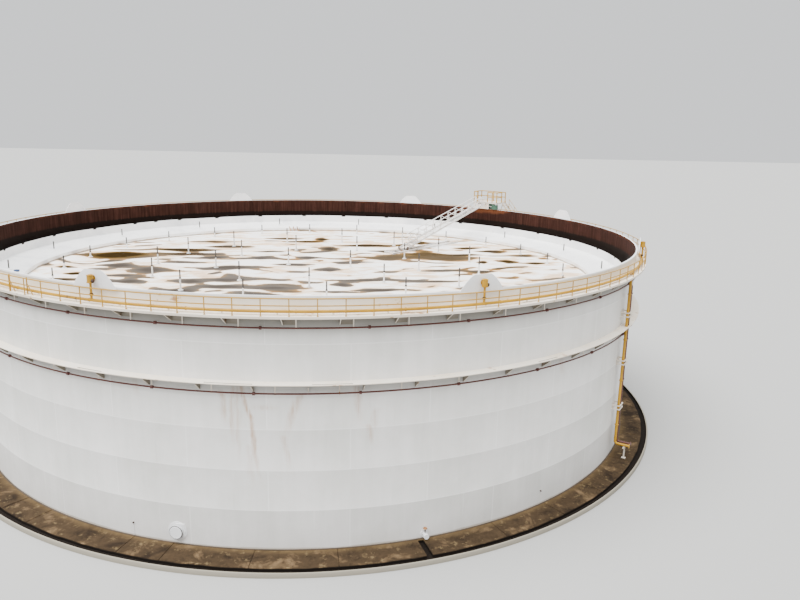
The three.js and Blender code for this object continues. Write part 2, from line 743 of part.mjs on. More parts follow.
// Instrument cabinet under the platform, on four legs that stand astride the foam main
function addCabinet() {
  const outward = (distance, side, z) => {
    const [x, y] = onCircle(m(cabinet.radius) + distance, cabinet.angle, z);
    return [x - side * Math.sin(rad(cabinet.angle)), y + side * Math.cos(rad(cabinet.angle)), z];
  };
  const halfWidth = m(cabinet.width) / 2;
  const halfDepth = m(cabinet.depth) / 2;
  const leg = m(cabinet.leg);
  const box = bar(outward(0, 0, m(cabinet.bottom)), outward(0, 0, m(cabinet.top)), halfWidth, 4, halfDepth);
  const legs = [-1, 1].flatMap((across) => [-1, 1].map((along) => {
    const spot = (z) => outward(across * (halfDepth - leg), along * (halfWidth - leg), z);
    return bar(spot(m(girder.top.z) + seatGap), spot(m(cabinet.bottom) + bite), leg);
  }));
  addPart('walkway_cabinet', joined(box, ...legs), greenPaint);
}

// Spiral stair: treads climb round the shell from the apron to the platform, with
// brackets back to the shell
const stepAngle = ((stair.going / ((stair.inner + stair.outer) / 2)) * 180) / Math.PI;
const stepRise = platform.top / stair.steps;
const stairFoot = platform.from - 0.05 - stepAngle * (stair.steps - 1);
const stepStart = (i) => stairFoot + i * stepAngle;
const treadTop = (i) => m((i + 1) * stepRise);

function addStair() {
  const count = stair.steps - 1;
  const underside = (i) => Math.max(seatGap, m(i * stepRise - stair.drop));
  const points = [];
  const corner = (radius, angle, z) => points.push(onCircle(m(radius), angle, z)) - 1;
  const pair = (angle, z) => [stair.inner, stair.outer].map((radius) => corner(radius, angle, z));
  const faces = [];
  let before = null;
  for (let i = 0; i < count; i++) {
    const lowHere = before ? before.lowNext : pair(stepStart(i), underside(i));
    const lowNext = pair(stepStart(i + 1), underside(i + 1));
    const front = pair(stepStart(i), treadTop(i));
    const back = pair(stepStart(i + 1), treadTop(i));
    const nosing = before ? before.back : lowHere;
    faces.push([front[0], front[1], back[1]], [front[0], back[1], back[0]]);
    faces.push([lowHere[0], lowNext[1], lowHere[1]], [lowHere[0], lowNext[0], lowNext[1]]);
    faces.push([nosing[0], nosing[1], front[1]], [nosing[0], front[1], front[0]]);
    faces.push([lowNext[0], front[0], back[0]], [lowNext[0], nosing[0], front[0]]);
    faces.push([lowNext[1], back[1], front[1]], [lowNext[1], front[1], nosing[1]]);
    if (before) faces.push([lowNext[0], lowHere[0], nosing[0]], [lowNext[1], nosing[1], lowHere[1]]);
    before = { lowNext, back };
  }
  const { lowNext, back } = before;
  faces.push([lowNext[0], back[0], back[1]], [lowNext[0], back[1], lowNext[1]]);
  const brackets = stair.brackets.map((z) => {
    const angle = stepStart(Math.round(z / stepRise) + 0.5);
    const level = m(z - 2 * stair.bracket);
    const seat = seatRadius(m(shell.radius), angle, m(stair.bracket));
    const reach = m(stair.inner + stair.bracket);
    return bar(onCircle(seat, angle, level), onCircle(reach, angle, level), m(stair.bracket));
  });
  addPart('spiral_stair', joined(geometryOf(points, faces), ...brackets), whitePaint);
}

// Handrail on the stair's outer side
function addStairRail() {
  const radius = m(stair.outer - stairRail.inset);
  const half = m(stairRail.half);
  const pieces = [];
  let lastTop = null;
  for (let i = 1; i < stair.steps - 1; i += stairRail.every) {
    const angle = stepStart(i + 0.5);
    const top = onCircle(radius, angle, treadTop(i) + m(stairRail.height));
    const cap = onCircle(radius, angle, top[2] + half * 1.4);
    pieces.push(bar(onCircle(radius, angle, treadTop(i) + seatGap), cap, half));
    if (lastTop) pieces.push(bar(lastTop, top, half * 0.8));
    lastTop = top;
  }
  addPart('stair_handrail', joined(...pieces), yellowPaint);
}

// Railing round the platform, open where the stair arrives and over the ladder
function addPlatformRail() {
  const half = m(platformRail.half);
  const foot = m(platform.top) + seatGap;
  const inner = m(platform.inner + platformRail.inset);
  const outer = m(platform.outer - platformRail.inset);
  const low = platform.from + platformRail.corner;
  const high = platform.to - platformRail.corner;
  const runs = {
    platform_rail_inner: [
      [inner, ladder.angle - platformRail.ladderGap],
      [inner, low],
      [m(stair.inner - 0.1), low],
    ],
    platform_rail_outer: [
      [outer, low],
      [outer, (low + high) / 2],
      [outer, high],
      [(inner + outer) / 2, high],
      [inner, high],
      [inner, ladder.angle + platformRail.ladderGap],
    ],
  };
  for (const [name, run] of Object.entries(runs)) {
    const posts = run.map(([radius, angle]) => {
      const head = onCircle(radius, angle, foot + m(platformRail.top) + half);
      return bar(onCircle(radius, angle, foot), head, half);
    });
    const rails = [platformRail.mid, platformRail.top].flatMap((height) => {
      const spots = run.map(([radius, angle]) => onCircle(radius, angle, foot + m(height)));
      return spots.slice(1).map((spot, i) => bar(spots[i], spot, half * 0.8));
    });
    addPart(name, joined(...posts, ...rails), ochrePaint);
  }
}

addPlatform();
addCabinet();
addStair();
addStairRail();
addPlatformRail();

export default group;
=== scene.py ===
import math
from functools import partial

import bpy
import numpy as np
from mathutils import Matrix


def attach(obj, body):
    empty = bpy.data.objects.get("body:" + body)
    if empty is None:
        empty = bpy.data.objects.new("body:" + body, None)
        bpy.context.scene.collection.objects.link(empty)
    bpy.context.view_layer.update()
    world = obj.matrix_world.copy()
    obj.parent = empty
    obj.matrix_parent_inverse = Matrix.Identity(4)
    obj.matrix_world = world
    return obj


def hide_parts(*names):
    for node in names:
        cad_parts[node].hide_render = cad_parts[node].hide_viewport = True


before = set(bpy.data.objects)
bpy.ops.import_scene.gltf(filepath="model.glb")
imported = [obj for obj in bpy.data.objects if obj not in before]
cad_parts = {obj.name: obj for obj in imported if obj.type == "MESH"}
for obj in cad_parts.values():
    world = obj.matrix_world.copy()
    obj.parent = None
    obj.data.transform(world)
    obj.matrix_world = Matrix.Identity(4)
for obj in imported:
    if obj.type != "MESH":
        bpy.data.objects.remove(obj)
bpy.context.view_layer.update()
print("frame: the packed tank is loaded")

# Sizes of pieces are metres of the real tank; the model is half as large.
# Heights start at the top of the concrete ring, angles are degrees from +X towards +Y.
# Sizes inside the materials are metres of the model, because they read Object coordinates.
modelScale = 0.5
lift = 0.15  # model metres from the floor to the top of the concrete ring
round360 = np.arange(0, 360, 0.75)


# Points on circles: x = r cos a, y = r sin a, at a height
def polar(radius, angle, height):
    turn = np.radians(np.asarray(angle, float))
    radius, turn, height = np.broadcast_arrays(np.asarray(radius, float), turn, np.asarray(height, float))
    points = np.stack([radius * np.cos(turn), radius * np.sin(turn), height], axis=-1) * modelScale
    points[..., 2] += lift
    return points


# Outward unit vector (cos a, sin a, 0) and sideways one (-sin a, cos a, 0) at an azimuth
def radialFrame(angle):
    turn = math.radians(angle)
    return np.array([math.cos(turn), math.sin(turn), 0]), np.array([-math.sin(turn), math.cos(turn), 0])


# Azimuths that share the round evenly: first + 360 i / count
def evenly(first, count):
    return first + np.arange(count) * 360 / count


# Square (i, j) of a grid joins its points (i, j) and (i+1, j+1), going round where a side wraps
def gridFaces(rows, columns, wrapRows=False, wrapColumns=False):
    i = np.arange(rows if wrapRows else rows - 1)[:, None]
    j = np.arange(columns if wrapColumns else columns - 1)[None, :]
    nextI, nextJ = (i + 1) % rows, (j + 1) % columns
    corners = (i * columns + j, nextI * columns + j, nextI * columns + nextJ, i * columns + nextJ)
    return np.stack(np.broadcast_arrays(*corners), axis=-1).reshape(-1, 4)


# Point numbers once round a grid's edge: first row, last column, last row back, first column back
def gridBorder(rows, columns):
    return np.concatenate([np.arange(columns), np.arange(1, rows) * columns + columns - 1,
                           (rows - 1) * columns + np.arange(columns - 2, -1, -1),
                           np.arange(rows - 2, 0, -1) * columns])


# A closed profile of radius and height, counter-clockwise, carried round the axis through the angles
def revolve(radius, height, angles, closed=True, paints=0):
    radius, height = np.atleast_2d(np.asarray(radius, float)), np.atleast_2d(np.asarray(height, float))
    points = polar(radius, np.asarray(angles, float)[:, None], height)
    rows, columns = points.shape[:2]
    faces = gridFaces(rows, columns, closed, True)
    groups = [(faces, np.resize(np.broadcast_to(paints, columns), len(faces)))]
    if not closed:
        cap = np.arange(columns)[None]
        groups += [(cap, 0), (cap[:, ::-1] + (rows - 1) * columns, 0)]
    return points.reshape(-1, 3), groups


# Straight solids: each low loop of corners is joined to its high loop by flat sides, and both are capped
def prisms(low, high, paint=0):
    low, high = np.broadcast_arrays(np.asarray(low, float), np.asarray(high, float))
    count, sides = low.shape[:2]
    area = np.cross(low, np.roll(low, -1, axis=1)).sum(axis=1)
    turned = (np.einsum("ij,ij->i", area, (high - low).mean(axis=1)) < 0)[:, None, None]
    low, high = np.where(turned, low[:, ::-1], low), np.where(turned, high[:, ::-1], high)
    start = np.arange(count)[:, None] * 2 * sides
    edge = np.arange(sides)
    after = (edge + 1) % sides
    walls = start[:, :, None] + np.stack([edge, after, sides + after, sides + edge], axis=-1)[None]
    groups = [(walls.reshape(-1, 4), paint), (start + edge[::-1], paint), (start + edge + sides, paint)]
    return np.concatenate([low, high], axis=1).reshape(-1, 3), groups


# Bars: a polygon of so many sides round each straight line, at width cos t across plus depth sin t up;
# width and depth are half sizes
def rods(starts, ends, width, sides=8, depth=None, paint=0):
    starts, ends = np.broadcast_arrays(*(np.atleast_2d(np.asarray(side, float)) for side in (starts, ends)))
    along = ends - starts
    along = along / np.linalg.norm(along, axis=1, keepdims=True)
    outward = starts * [1, 1, 0] + [1e-9, 0, 0]
    outward = outward / np.linalg.norm(outward, axis=1, keepdims=True)
    helper = np.where(np.abs(along[:, 2:]) > 0.95, outward, [0, 0, 1])
    across = np.cross(helper, along)
    across = across / np.linalg.norm(across, axis=1, keepdims=True)
    rise = np.cross(along, across)
    turn = 2 * np.pi * (np.arange(sides) + 0.5) / sides
    reach = modelScale / (math.cos(math.pi / 4) if sides == 4 else 1)
    wide, deep = reach * np.asarray(width), reach * np.asarray(width if depth is None else depth)
    offset = across[:, None] * (wide * np.cos(turn))[:, None] + rise[:, None] * (deep * np.sin(turn))[:, None]
    return prisms(starts[:, None] + offset, ends[:, None] + offset, paint)


# Bars that stand at a radius and azimuth, from one height to another
def upright(radius, angle, low, high, width, sides=8, depth=None, paint=0):
    return rods(polar(radius, angle, low), polar(radius, angle, high), width, sides, depth, paint)


# Bars that point away from the axis at one height, from one radius to another
def spoke(near, far, angle, height, width, sides=8, depth=None, paint=0):
    return rods(polar(near, angle, height), polar(far, angle, height), width, sides, depth, paint)


# A flat outline carried along a path: its first axis is across, its second stands on the path and across
def sweep(path, outline, across=None):
    path, outline = np.asarray(path, float), np.asarray(outline, float) * modelScale
    along = np.gradient(path, axis=0)
    along = along / np.linalg.norm(along, axis=1, keepdims=True)
    side = np.cross([0, 0, 1], along) if across is None else np.broadcast_to(across, path.shape)
    side = side / np.linalg.norm(side, axis=1, keepdims=True)
    rise = np.cross(along, side)
    points = path[:, None] + side[:, None] * outline[None, :, :1] + rise[:, None] * outline[None, :, 1:]
    rows, columns = points.shape[:2]
    cap = np.arange(columns)[None]
    groups = [(gridFaces(rows, columns, False, True)[:, ::-1], 0), (cap[:, ::-1], 0),
              (cap + (rows - 1) * columns, 0)]
    return points.reshape(-1, 3), groups


# Corners of a regular polygon, counter-clockwise: (r cos t, r sin t)
def circle(radius, sides=12):
    turn = 2 * np.pi * np.arange(sides) / sides
    return np.stack([radius * np.cos(turn), radius * np.sin(turn)], axis=-1)


# A pipe all the way round: a circle of the pipe's radius revolved at the ring's radius
def ringPipe(radius, height, pipe, sides):
    section = circle(pipe, sides)
    return revolve(radius + section[:, 0], height + section[:, 1], round360)


# Several shapes as one: their points follow each other, and face numbers move on by the points before
def joinShapes(*shapes):
    points, groups, start = [], [], 0
    for shapePoints, shapeGroups in shapes:
        points.append(shapePoints)
        groups += [(faces + start, paint) for faces, paint in shapeGroups]
        start += len(shapePoints)
    return np.vstack(points), groups


# The same shape with all its faces in another of the piece's paints
def repaint(shape, paint):
    points, groups = shape
    return points, [(faces, paint) for faces, oldPaint in groups]


# Smooth noise from 0 to 1: random values on a square lattice, eased by 3t² - 2t³ between its points
def unevenness(x, y, spacing, seed):
    size = 64
    lattice = np.random.default_rng(seed).random((size, size))
    u, v = np.asarray(x) / spacing, np.asarray(y) / spacing
    i, j = np.floor(u).astype(int), np.floor(v).astype(int)
    s, t = u - i, v - j
    s, t = s * s * (3 - 2 * s), t * t * (3 - 2 * t)
    low, high = (lattice[i % size, row % size] * (1 - s) + lattice[(i + 1) % size, row % size] * s
                 for row in (j, j + 1))
    return low * (1 - t) + high * t


# Puts a shape into a mesh object that rides on a body; edges sharper than creaseAngle stay crisp
def makePiece(name, shape, materials, body, stands=(), creaseAngle=35):
    points, groups = shape
    mesh = bpy.data.meshes.new(name)
    corners = np.concatenate([faces.ravel() for faces, paint in groups])
    sides = np.concatenate([np.full(len(faces), faces.shape[1]) for faces, paint in groups])
    paints = np.concatenate([np.broadcast_to(paint, len(faces)) for faces, paint in groups])
    mesh.vertices.add(len(points))
    mesh.vertices.foreach_set("co", points.astype(np.float32).ravel())
    mesh.loops.add(len(corners))
    mesh.loops.foreach_set("vertex_index", corners.astype(np.int32))
    mesh.polygons.add(len(sides))
    mesh.polygons.foreach_set("loop_start", np.concatenate([[0], np.cumsum(sides)[:-1]]).astype(np.int32))
    mesh.polygons.foreach_set("material_index", paints.astype(np.int32))
    mesh.polygons.foreach_set("use_smooth", np.ones(len(sides), bool))
    mesh.update(calc_edges=True)
    mesh.validate()
    mesh.set_sharp_from_angle(angle=math.radians(creaseAngle))
    piece = bpy.data.objects.new(name, mesh)
    bpy.context.scene.collection.objects.link(piece)
    for material in materials:
        mesh.materials.append(material)
    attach(piece, body)
    if stands:
        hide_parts(*stands)
    return piece


# Names of the CAD nodes that one piece stands for, such as shell_segment_1 to shell_segment_6
def numbered(stem, count):
    return [f"{stem}_{i}" for i in range(1, count + 1)]


# A CAD node that stays as it is takes one of the materials
def paintNode(name, material):
    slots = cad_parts[name].data.materials
    slots.clear()
    slots.append(material)


# sRGB hex to linear: share / 12.92 up to 0.04045, above it ((share + 0.055) / 1.055) to the power 2.4
def linear(code):
    shares = np.array([int(code[i:i + 2], 16) for i in (1, 3, 5)]) / 255
    shares = np.where(shares <= 0.04045, shares / 12.92, ((shares + 0.055) / 1.055) ** 2.4)
    return (*shares.tolist(), 1.0)


# A neutral colour that is linear already: the same share in each channel
def grey(share):
    return share, share, share, 1.0


# Settings and links: a property, or a socket by name or number, takes a value, a hex colour or the output
# of another node; "stops" are the places and colours of a ramp
def setSockets(node, settings):
    for key, value in settings.items():
        if key == "stops":
            elements = node.color_ramp.elements
            while len(elements) < len(value):
                elements.new(0.5)
            for element, (place, colour) in zip(elements, value):
                element.position, element.color = place, linear(colour)
        elif isinstance(value, bpy.types.NodeSocket):
            node.id_data.links.new(value, node.inputs[key])
        elif isinstance(key, str) and hasattr(node, key):
            setattr(node, key, value)
        else:
            node.inputs[key].default_value = linear(value) if isinstance(value, str) else value


# Adds a node with its settings and links and gives back one of its outputs. Each mix here is of colours:
# its socket 0 is the share of the upper colour, 6 the colour under and 7 the colour over it
def addNode(tree, kind, settings=None, output=0):
    node = tree.nodes.new("ShaderNode" + kind)
    if kind == "Mix":
        node.data_type, output = "RGBA", 2
    setSockets(node, settings or {})
    return node.outputs[output]


# A dielectric such as paint, concrete or rust: IOR 1.5, no bare metal shows. Gives back the material, its
# shader and addNode for its tree
def newMaterial(name, roughness=0.5):
    material = bpy.data.materials.new(name)
    material.use_nodes = True
    tree = material.node_tree
    tree.nodes.clear()
    shader = addNode(tree, "BsdfPrincipled", {"Roughness": roughness, "Metallic": 0.0, "IOR": 1.5}).node
    setSockets(tree.nodes.new("ShaderNodeOutputMaterial"), {"Surface": shader.outputs["BSDF"]})
    return material, shader, partial(addNode, tree)


multiply, add, multiplyAdd, larger, less, subtract = (
    {"operation": name} for name in ("MULTIPLY", "ADD", "MULTIPLY_ADD", "MAXIMUM", "LESS_THAN", "SUBTRACT"))
smooth = {"interpolation_type": "SMOOTHSTEP"}

# Alkyd enamel on rolled steel plate, rolled on and weathered: nearly white and dull, darker under each
# girder as painted shade, with pale rust that runs down from the girder's drain slots
shellLook = {
    "clean": "#e9e7e4", "dull": "#d8d7d2", "seam": "#fbfaf8", "rust": "#b07f50", "foot": "#8f7f62",
    # ledgeShade is the colour of the painted shade under each girder
    "ledgeShade": "#4f4838", "radius": 13.715, "courseHeight": 1.23, "plateLength": 4.6, "smearWidth": 0.35,
    "swing": 0.3,  # how far the wandering of a rust run takes it to either side
    "ledges": [(7.01, 0.8, 0.92), (5.068, 0.42, 0.65)],  # height, reach below it, strength of the painted shade
    "streaks": [  # azimuth at the top and at the bottom, half width, top and bottom height, strength
        (-101.35, -100.6, 0.05, 4.85, 3.7, 0.55), (-99.92, -100.04, 0.035, 5.05, 2.9, 0.35),
        (-99.34, -99.45, 0.035, 5.05, 2.5, 0.35), (-98.85, -96.55, 0.035, 5.05, 1.8, 0.8),
        (-98.1, -97.7, 0.05, 3.3, 1.8, 0.3), (-92.1, -94.2, 0.055, 4.8, 3.4, 0.5),
        (-94.2, -93.4, 0.045, 3.6, 2.4, 0.4), (-85.75, -85.5, 0.045, 5.05, 3.7, 0.5),
        (-84.4, -84.0, 0.05, 3.85, 3.1, 0.5), (-83.4, -83.8, 0.05, 4.3, 3.5, 0.4),
        (-112.0, -111.6, 0.05, 5.05, 4.3, 0.2), (-96.35, -96.35, 0.17, 4.48, 4.22, 0.3),
        (-56.3, -56.0, 0.06, 5.05, 4.2, 0.3),
    ],
}


def shellPaint():
    look = shellLook
    material, shader, node = newMaterial("weatheredWhiteEnamel", roughness=0.45)
    place = node("TexCoord", output="Object")
    axes = node("SeparateXYZ", {0: place}).node.outputs
    turn = node("Math", {"operation": "ARCTAN2", 0: axes["Y"], 1: axes["X"]})
    arc = node("Math", multiply | {0: turn, 1: look["radius"]})
    height = node("Math", subtract | {0: axes["Z"], 1: lift})
    wall = node("CombineXYZ", {0: arc, 1: height})
    # each rolled plate took the paint a little differently
    plates = node("TexBrick", {
        "Vector": wall, "Color1": grey(0.0), "Color2": grey(1.0), "Mortar": grey(0.5), "Scale": 1.0,
        "Mortar Size": 0.02, "Mortar Smooth": 0.4, "Bias": 0.0, "Brick Width": look["plateLength"],
        "Row Height": look["courseHeight"]}).node.outputs
    cloud = node("TexNoise", {"Vector": place, "Scale": 0.45, "Detail": 5.0, "Roughness": 0.6})
    smearPlace = node("Mapping", {"Vector": wall, "Scale": (1 / look["smearWidth"], 0.22, 1.0)})
    smear = node("TexNoise", {"Vector": smearPlace, "Scale": 1.0, "Detail": 4.0, "Roughness": 0.65})
    dirt = node("Math", multiplyAdd | {0: plates["Color"], 1: 0.07, 2: cloud})
    dirt = node("Math", multiplyAdd | {0: smear, 1: 0.45, 2: dirt})
    tone = node("ValToRGB", {0: dirt, "stops": [(0.62, look["clean"]), (0.95, look["dull"])]})
    worn = node("Math", multiply | {0: plates["Fac"], 1: 0.45})
    tone = node("Mix", {0: worn, 6: tone, 7: look["seam"]})
    # rust runs: a ragged line that slants from one azimuth to another, faint at both ends
    wander = node("TexNoise", {"Vector": wall, "Scale": 1.4, "Detail": 3.0})
    broken = node("TexNoise", {"Vector": smearPlace, "Scale": 5.0, "Detail": 4.0, "Roughness": 0.7})
    swing = look["swing"]
    rust = None
    for topAzimuth, lowAzimuth, halfWidth, top, bottom, strength in look["streaks"]:
        slope = look["radius"] * math.radians(topAzimuth - lowAzimuth) / (top - bottom)
        start = look["radius"] * math.radians(lowAzimuth) - slope * bottom
        level = node("Math", multiplyAdd | {0: height, 1: -slope, 2: arc})
        shift = node("Math", multiplyAdd | {0: wander, 1: swing, 2: -start - swing / 2})
        offset = node("Math", add | {0: level, 1: shift})
        offset = node("Math", {"operation": "ABSOLUTE", 0: offset})
        run = node("MapRange", smooth | {
            0: offset, "From Min": halfWidth * 3.0, "From Max": 0.0, "To Max": strength})
        for fadeFrom, fadeTo in ((bottom, (bottom + top) / 2), (top, top - 0.15)):
            end = node("MapRange", smooth | {0: height, "From Min": fadeFrom, "From Max": fadeTo})
            run = node("Math", multiply | {0: run, 1: end})
        rust = run if rust is None else node("Math", larger | {0: rust, 1: run})
    patchy = node("MapRange", {0: broken, "From Min": 0.3, "From Max": 0.6})
    rust = node("Math", multiply | {0: rust, 1: patchy})
    # fine runs everywhere under the mid girder
    girderHeight = look["ledges"][1][0]
    runs = node("MapRange", smooth | {0: smear, "From Min": 0.62, "From Max": 0.8, "To Max": 0.2})
    reach = node("MapRange", smooth | {0: height, "From Min": girderHeight - 1.6, "From Max": girderHeight})
    below = node("Math", less | {0: height, 1: girderHeight})
    reach = node("Math", multiply | {0: reach, 1: below})
    runs = node("Math", multiply | {0: runs, 1: reach})
    rust = node("Math", larger | {0: rust, 1: runs})
    tone = node("Mix", {0: rust, 6: tone, 7: look["rust"]})
    # Painted shade: the wall darkens just below each girder and fades over depth metres further down
    for ledge, depth, strength in look["ledges"]:
        fade = node("MapRange", {"interpolation_type": "SMOOTHERSTEP", 0: height, "From Min": ledge - depth,
                                 "From Max": ledge, "To Max": strength})
        below = node("Math", less | {0: height, 1: ledge})
        ledgeShade = node("Math", multiply | {0: fade, 1: below})
        tone = node("Mix", {0: ledgeShade, 6: tone, 7: look["ledgeShade"]})
    # splashed earth and rust along the foot
    splash = node("Math", multiplyAdd | {0: cloud, 1: -0.16, 2: height})
    foot = node("MapRange", smooth | {0: splash, "From Min": 0.0, "From Max": -0.06, "To Max": 0.6})
    tone = node("Mix", {0: foot, 6: tone, 7: look["foot"]})
    ripple = node("TexNoise", {"Vector": place, "Scale": 1.1, "Detail": 2.0})
    bump = node("Bump", {"Strength": 0.25, "Distance": 0.03, "Height": ripple})
    setSockets(shader, {"Base Color": tone, "Normal": bump})
    return material


# Bare plate inside the rim, hot rolled and rusted through: dark red-brown sheets with upright runs,
# fresh orange rust along the top edge and by the platform, black where the seal wipes it and a dark
# film further down
def innerWallSteel():
    look = {"rust": "#3a231c", "dark": "#2a1912", "run": "#4a2e27", "fresh": "#6a3f28", "wet": "#19120e",
            "film": "#221711", "filmTop": 5.9, "wetTop": 6.86, "wetFall": -0.004, "radius": 13.7,
            "runWidth": 0.1, "sheet": 0.42, "sheetHeight": 2.4, "edge": 7.49, "platformAngle": 43.5}
    material, shader, node = newMaterial("rustedRolledPlate", roughness=0.75)
    place = node("TexCoord", output="Object")
    axes = node("SeparateXYZ", {0: place}).node.outputs
    turn = node("Math", {"operation": "ARCTAN2", 0: axes["Y"], 1: axes["X"]})
    arc = node("Math", multiply | {0: turn, 1: look["radius"]})
    wall = node("CombineXYZ", {0: arc, 1: axes["Z"]})
    runPlace = node("Mapping", {"Vector": wall, "Scale": (1 / look["runWidth"], 0.5, 1.0)})
    runs = node("TexNoise", {"Vector": runPlace, "Scale": 1.0, "Detail": 6.0, "Roughness": 0.7})
    blotch = node("TexNoise", {"Vector": place, "Scale": 1.6, "Detail": 6.0, "Roughness": 0.6})
    sheets = node("TexBrick", {
        "Vector": wall, "Color1": grey(0.87), "Color2": grey(1.0), "Mortar": grey(0.9), "Scale": 1.0,
        "Mortar Size": 0.008, "Mortar Smooth": 0.5, "Bias": 0.0, "Brick Width": look["sheet"],
        "Row Height": look["sheetHeight"], "offset": 0.0})
    tone = node("ValToRGB", {0: runs, "stops": [
        (0.35, look["dark"]), (0.52, look["rust"]), (0.72, look["run"])]})
    tone = node("Mix", {"blend_type": "MULTIPLY", 0: 1.0, 6: tone, 7: sheets})
    tone = node("Mix", {"blend_type": "MULTIPLY", 0: 0.4, 6: tone, 7: blotch})
    # rust is fresh where height + 0.4 blotch + nearness to the platform passes the edge
    away = node("Math", subtract | {0: turn, 1: math.radians(look["platformAngle"])})
    away = node("Math", {"operation": "ABSOLUTE", 0: away})
    near = node("MapRange", smooth | {0: away, "From Min": 0.17, "From Max": 0.03, "To Max": 0.22})
    level = node("Math", multiplyAdd | {0: blotch, 1: 0.4, 2: axes["Z"]})
    level = node("Math", add | {0: level, 1: near})
    freshFrom = look["edge"] + lift
    fresh = node("MapRange", smooth | {
        0: level, "From Min": freshFrom + 0.09, "From Max": freshFrom + 0.28, "To Max": 0.7})
    tone = node("Mix", {0: fresh, 6: tone, 7: look["fresh"]})
    # the wet band and the film under it have a ragged edge, which lies a little lower at the back
    edge = node("Math", multiplyAdd | {0: runs, 1: 0.22, 2: axes["Z"]})
    edge = node("Math", multiplyAdd | {0: axes["Y"], 1: -look["wetFall"], 2: edge})
    wetFrom, filmFrom = look["wetTop"] + lift, look["filmTop"] + lift
    wet = node("MapRange", smooth | {0: edge, "From Min": wetFrom + 0.15, "From Max": wetFrom + 0.07})
    tone = node("Mix", {0: wet, 6: tone, 7: look["wet"]})
    below = node("MapRange", smooth | {
        0: edge, "From Min": filmFrom + 0.25, "From Max": filmFrom - 0.1, "To Max": 0.8})
    film = node("Mix", {"blend_type": "MULTIPLY", 0: 0.8, 6: look["film"], 7: sheets})
    tone = node("Mix", {0: below, 6: tone, 7: film})
    rough = node("MapRange", {0: wet, "To Min": 0.88, "To Max": 0.8})
    bump = node("Bump", {"Strength": 0.4, "Distance": 0.01, "Height": runs})
    setSockets(shader, {"Specular IOR Level": 0.06, "Base Color": tone, "Roughness": rough, "Normal": bump})
    return material


# Brushed-on enamel over steel: one colour, faded in places, with rust that comes through in spots.
# speck is the size of a rust spot and cloudSize that of a faded patch, in metres of the model
def enamel(name, clean, faded, rust, rustShare=0.2, speck=0.05, cloudSize=0.8, roughness=0.45):
    material, shader, node = newMaterial(name, roughness=roughness)
    place = node("TexCoord", output="Object")
    cloud = node("TexNoise", {"Vector": place, "Scale": 1 / cloudSize, "Detail": 4.0, "Roughness": 0.6})
    spots = node("TexNoise", {"Vector": place, "Scale": 0.5 / speck, "Detail": 6.0, "Roughness": 0.65})
    tone = node("ValToRGB", {0: cloud, "stops": [(0.35, clean), (0.7, faded)]})
    patch = node("Math", multiplyAdd | {0: cloud, 1: 0.6, 2: spots})
    through = node("MapRange", smooth | {0: patch, "From Min": 1.1 - rustShare, "From Max": 1.2 - rustShare})
    tone = node("Mix", {0: through, 6: tone, 7: rust})
    bump = node("Bump", {"Strength": 0.3, "Distance": 0.002, "Height": spots})
    setSockets(shader, {"Base Color": tone, "Normal": bump})
    return material


# Cast concrete, tamped and worn, brown with age: paler where the skin is left, bleached in spots, dark
# where damp, tan along the plate's edge, painted near-black in the drain channel as shade, and grey on the
# kerb
def concreteLook():
    look = {"body": "#392d1f", "pale": "#64513a", "damp": "#251c13", "nearPlate": "#756041",
            "channel": "#15100c", "spot": "#8a7654", "kerb": "#8b8578", "kerbFrom": 14.803, "patch": 0.7,
            "spotSize": 0.22, "grit": 0.03, "nearFrom": 14.3, "nearTo": 13.85}
    material, shader, node = newMaterial("agedConcrete", roughness=0.9)
    place = node("TexCoord", output="Object")
    axes = node("SeparateXYZ", {0: place}).node.outputs
    flat = node("CombineXYZ", {0: axes["X"], 1: axes["Y"]})
    radius = node("VectorMath", {"operation": "LENGTH", 0: flat}, "Value")
    patches = node("TexNoise", {
        "Vector": place, "Scale": 1 / look["patch"], "Detail": 7.0, "Roughness": 0.62, "Distortion": 0.4})
    blots = node("TexNoise", {"Vector": place, "Scale": 2.6 / look["patch"], "Detail": 6.0, "Roughness": 0.6})
    grit = node("TexNoise", {"Vector": place, "Scale": 1 / look["grit"], "Detail": 3.0})
    tone = node("ValToRGB", {0: patches, "stops": [
        (0.36, look["damp"]), (0.47, look["body"]), (0.56, look["body"]), (0.68, look["pale"])]})
    tone = node("Mix", {"blend_type": "OVERLAY", 0: 0.7, 6: tone, 7: blots})
    flecks = node("TexNoise", {
        "Vector": place, "Scale": 1 / look["spotSize"], "Detail": 4.0, "Roughness": 0.7})
    nearWall = node("Math", multiplyAdd | {0: blots, 1: 0.5, 2: radius})
    # source, from and to where the cover sets in, how much it hides, its colour
    for source, start, full, most, cover in (
            (flecks, 0.56, 0.76, 0.55, "spot"),
            (nearWall, look["nearFrom"], look["nearTo"], 0.6, "nearPlate"),
            # the channel's near-black is painted shade for the shadow down in it
            (axes["Z"], lift - 0.012, lift - 0.03, 1.0, "channel")):
        share = node("MapRange", smooth | {0: source, "From Min": start, "From Max": full, "To Max": most})
        tone = node("Mix", {0: share, 6: tone, 7: look[cover]})
    kerb = node("MapRange", {0: radius, "From Min": look["kerbFrom"], "From Max": look["kerbFrom"] + 0.004})
    tone = node("Mix", {0: kerb, 6: tone, 7: look["kerb"]})
    relief = node("Math", multiplyAdd | {0: grit, 1: 0.4, 2: blots})
    bump = node("Bump", {"Strength": 0.6, "Distance": 0.012, "Height": relief})
    setSockets(shader, {"Specular IOR Level": 0.12, "Base Color": tone, "Normal": bump})
    return material


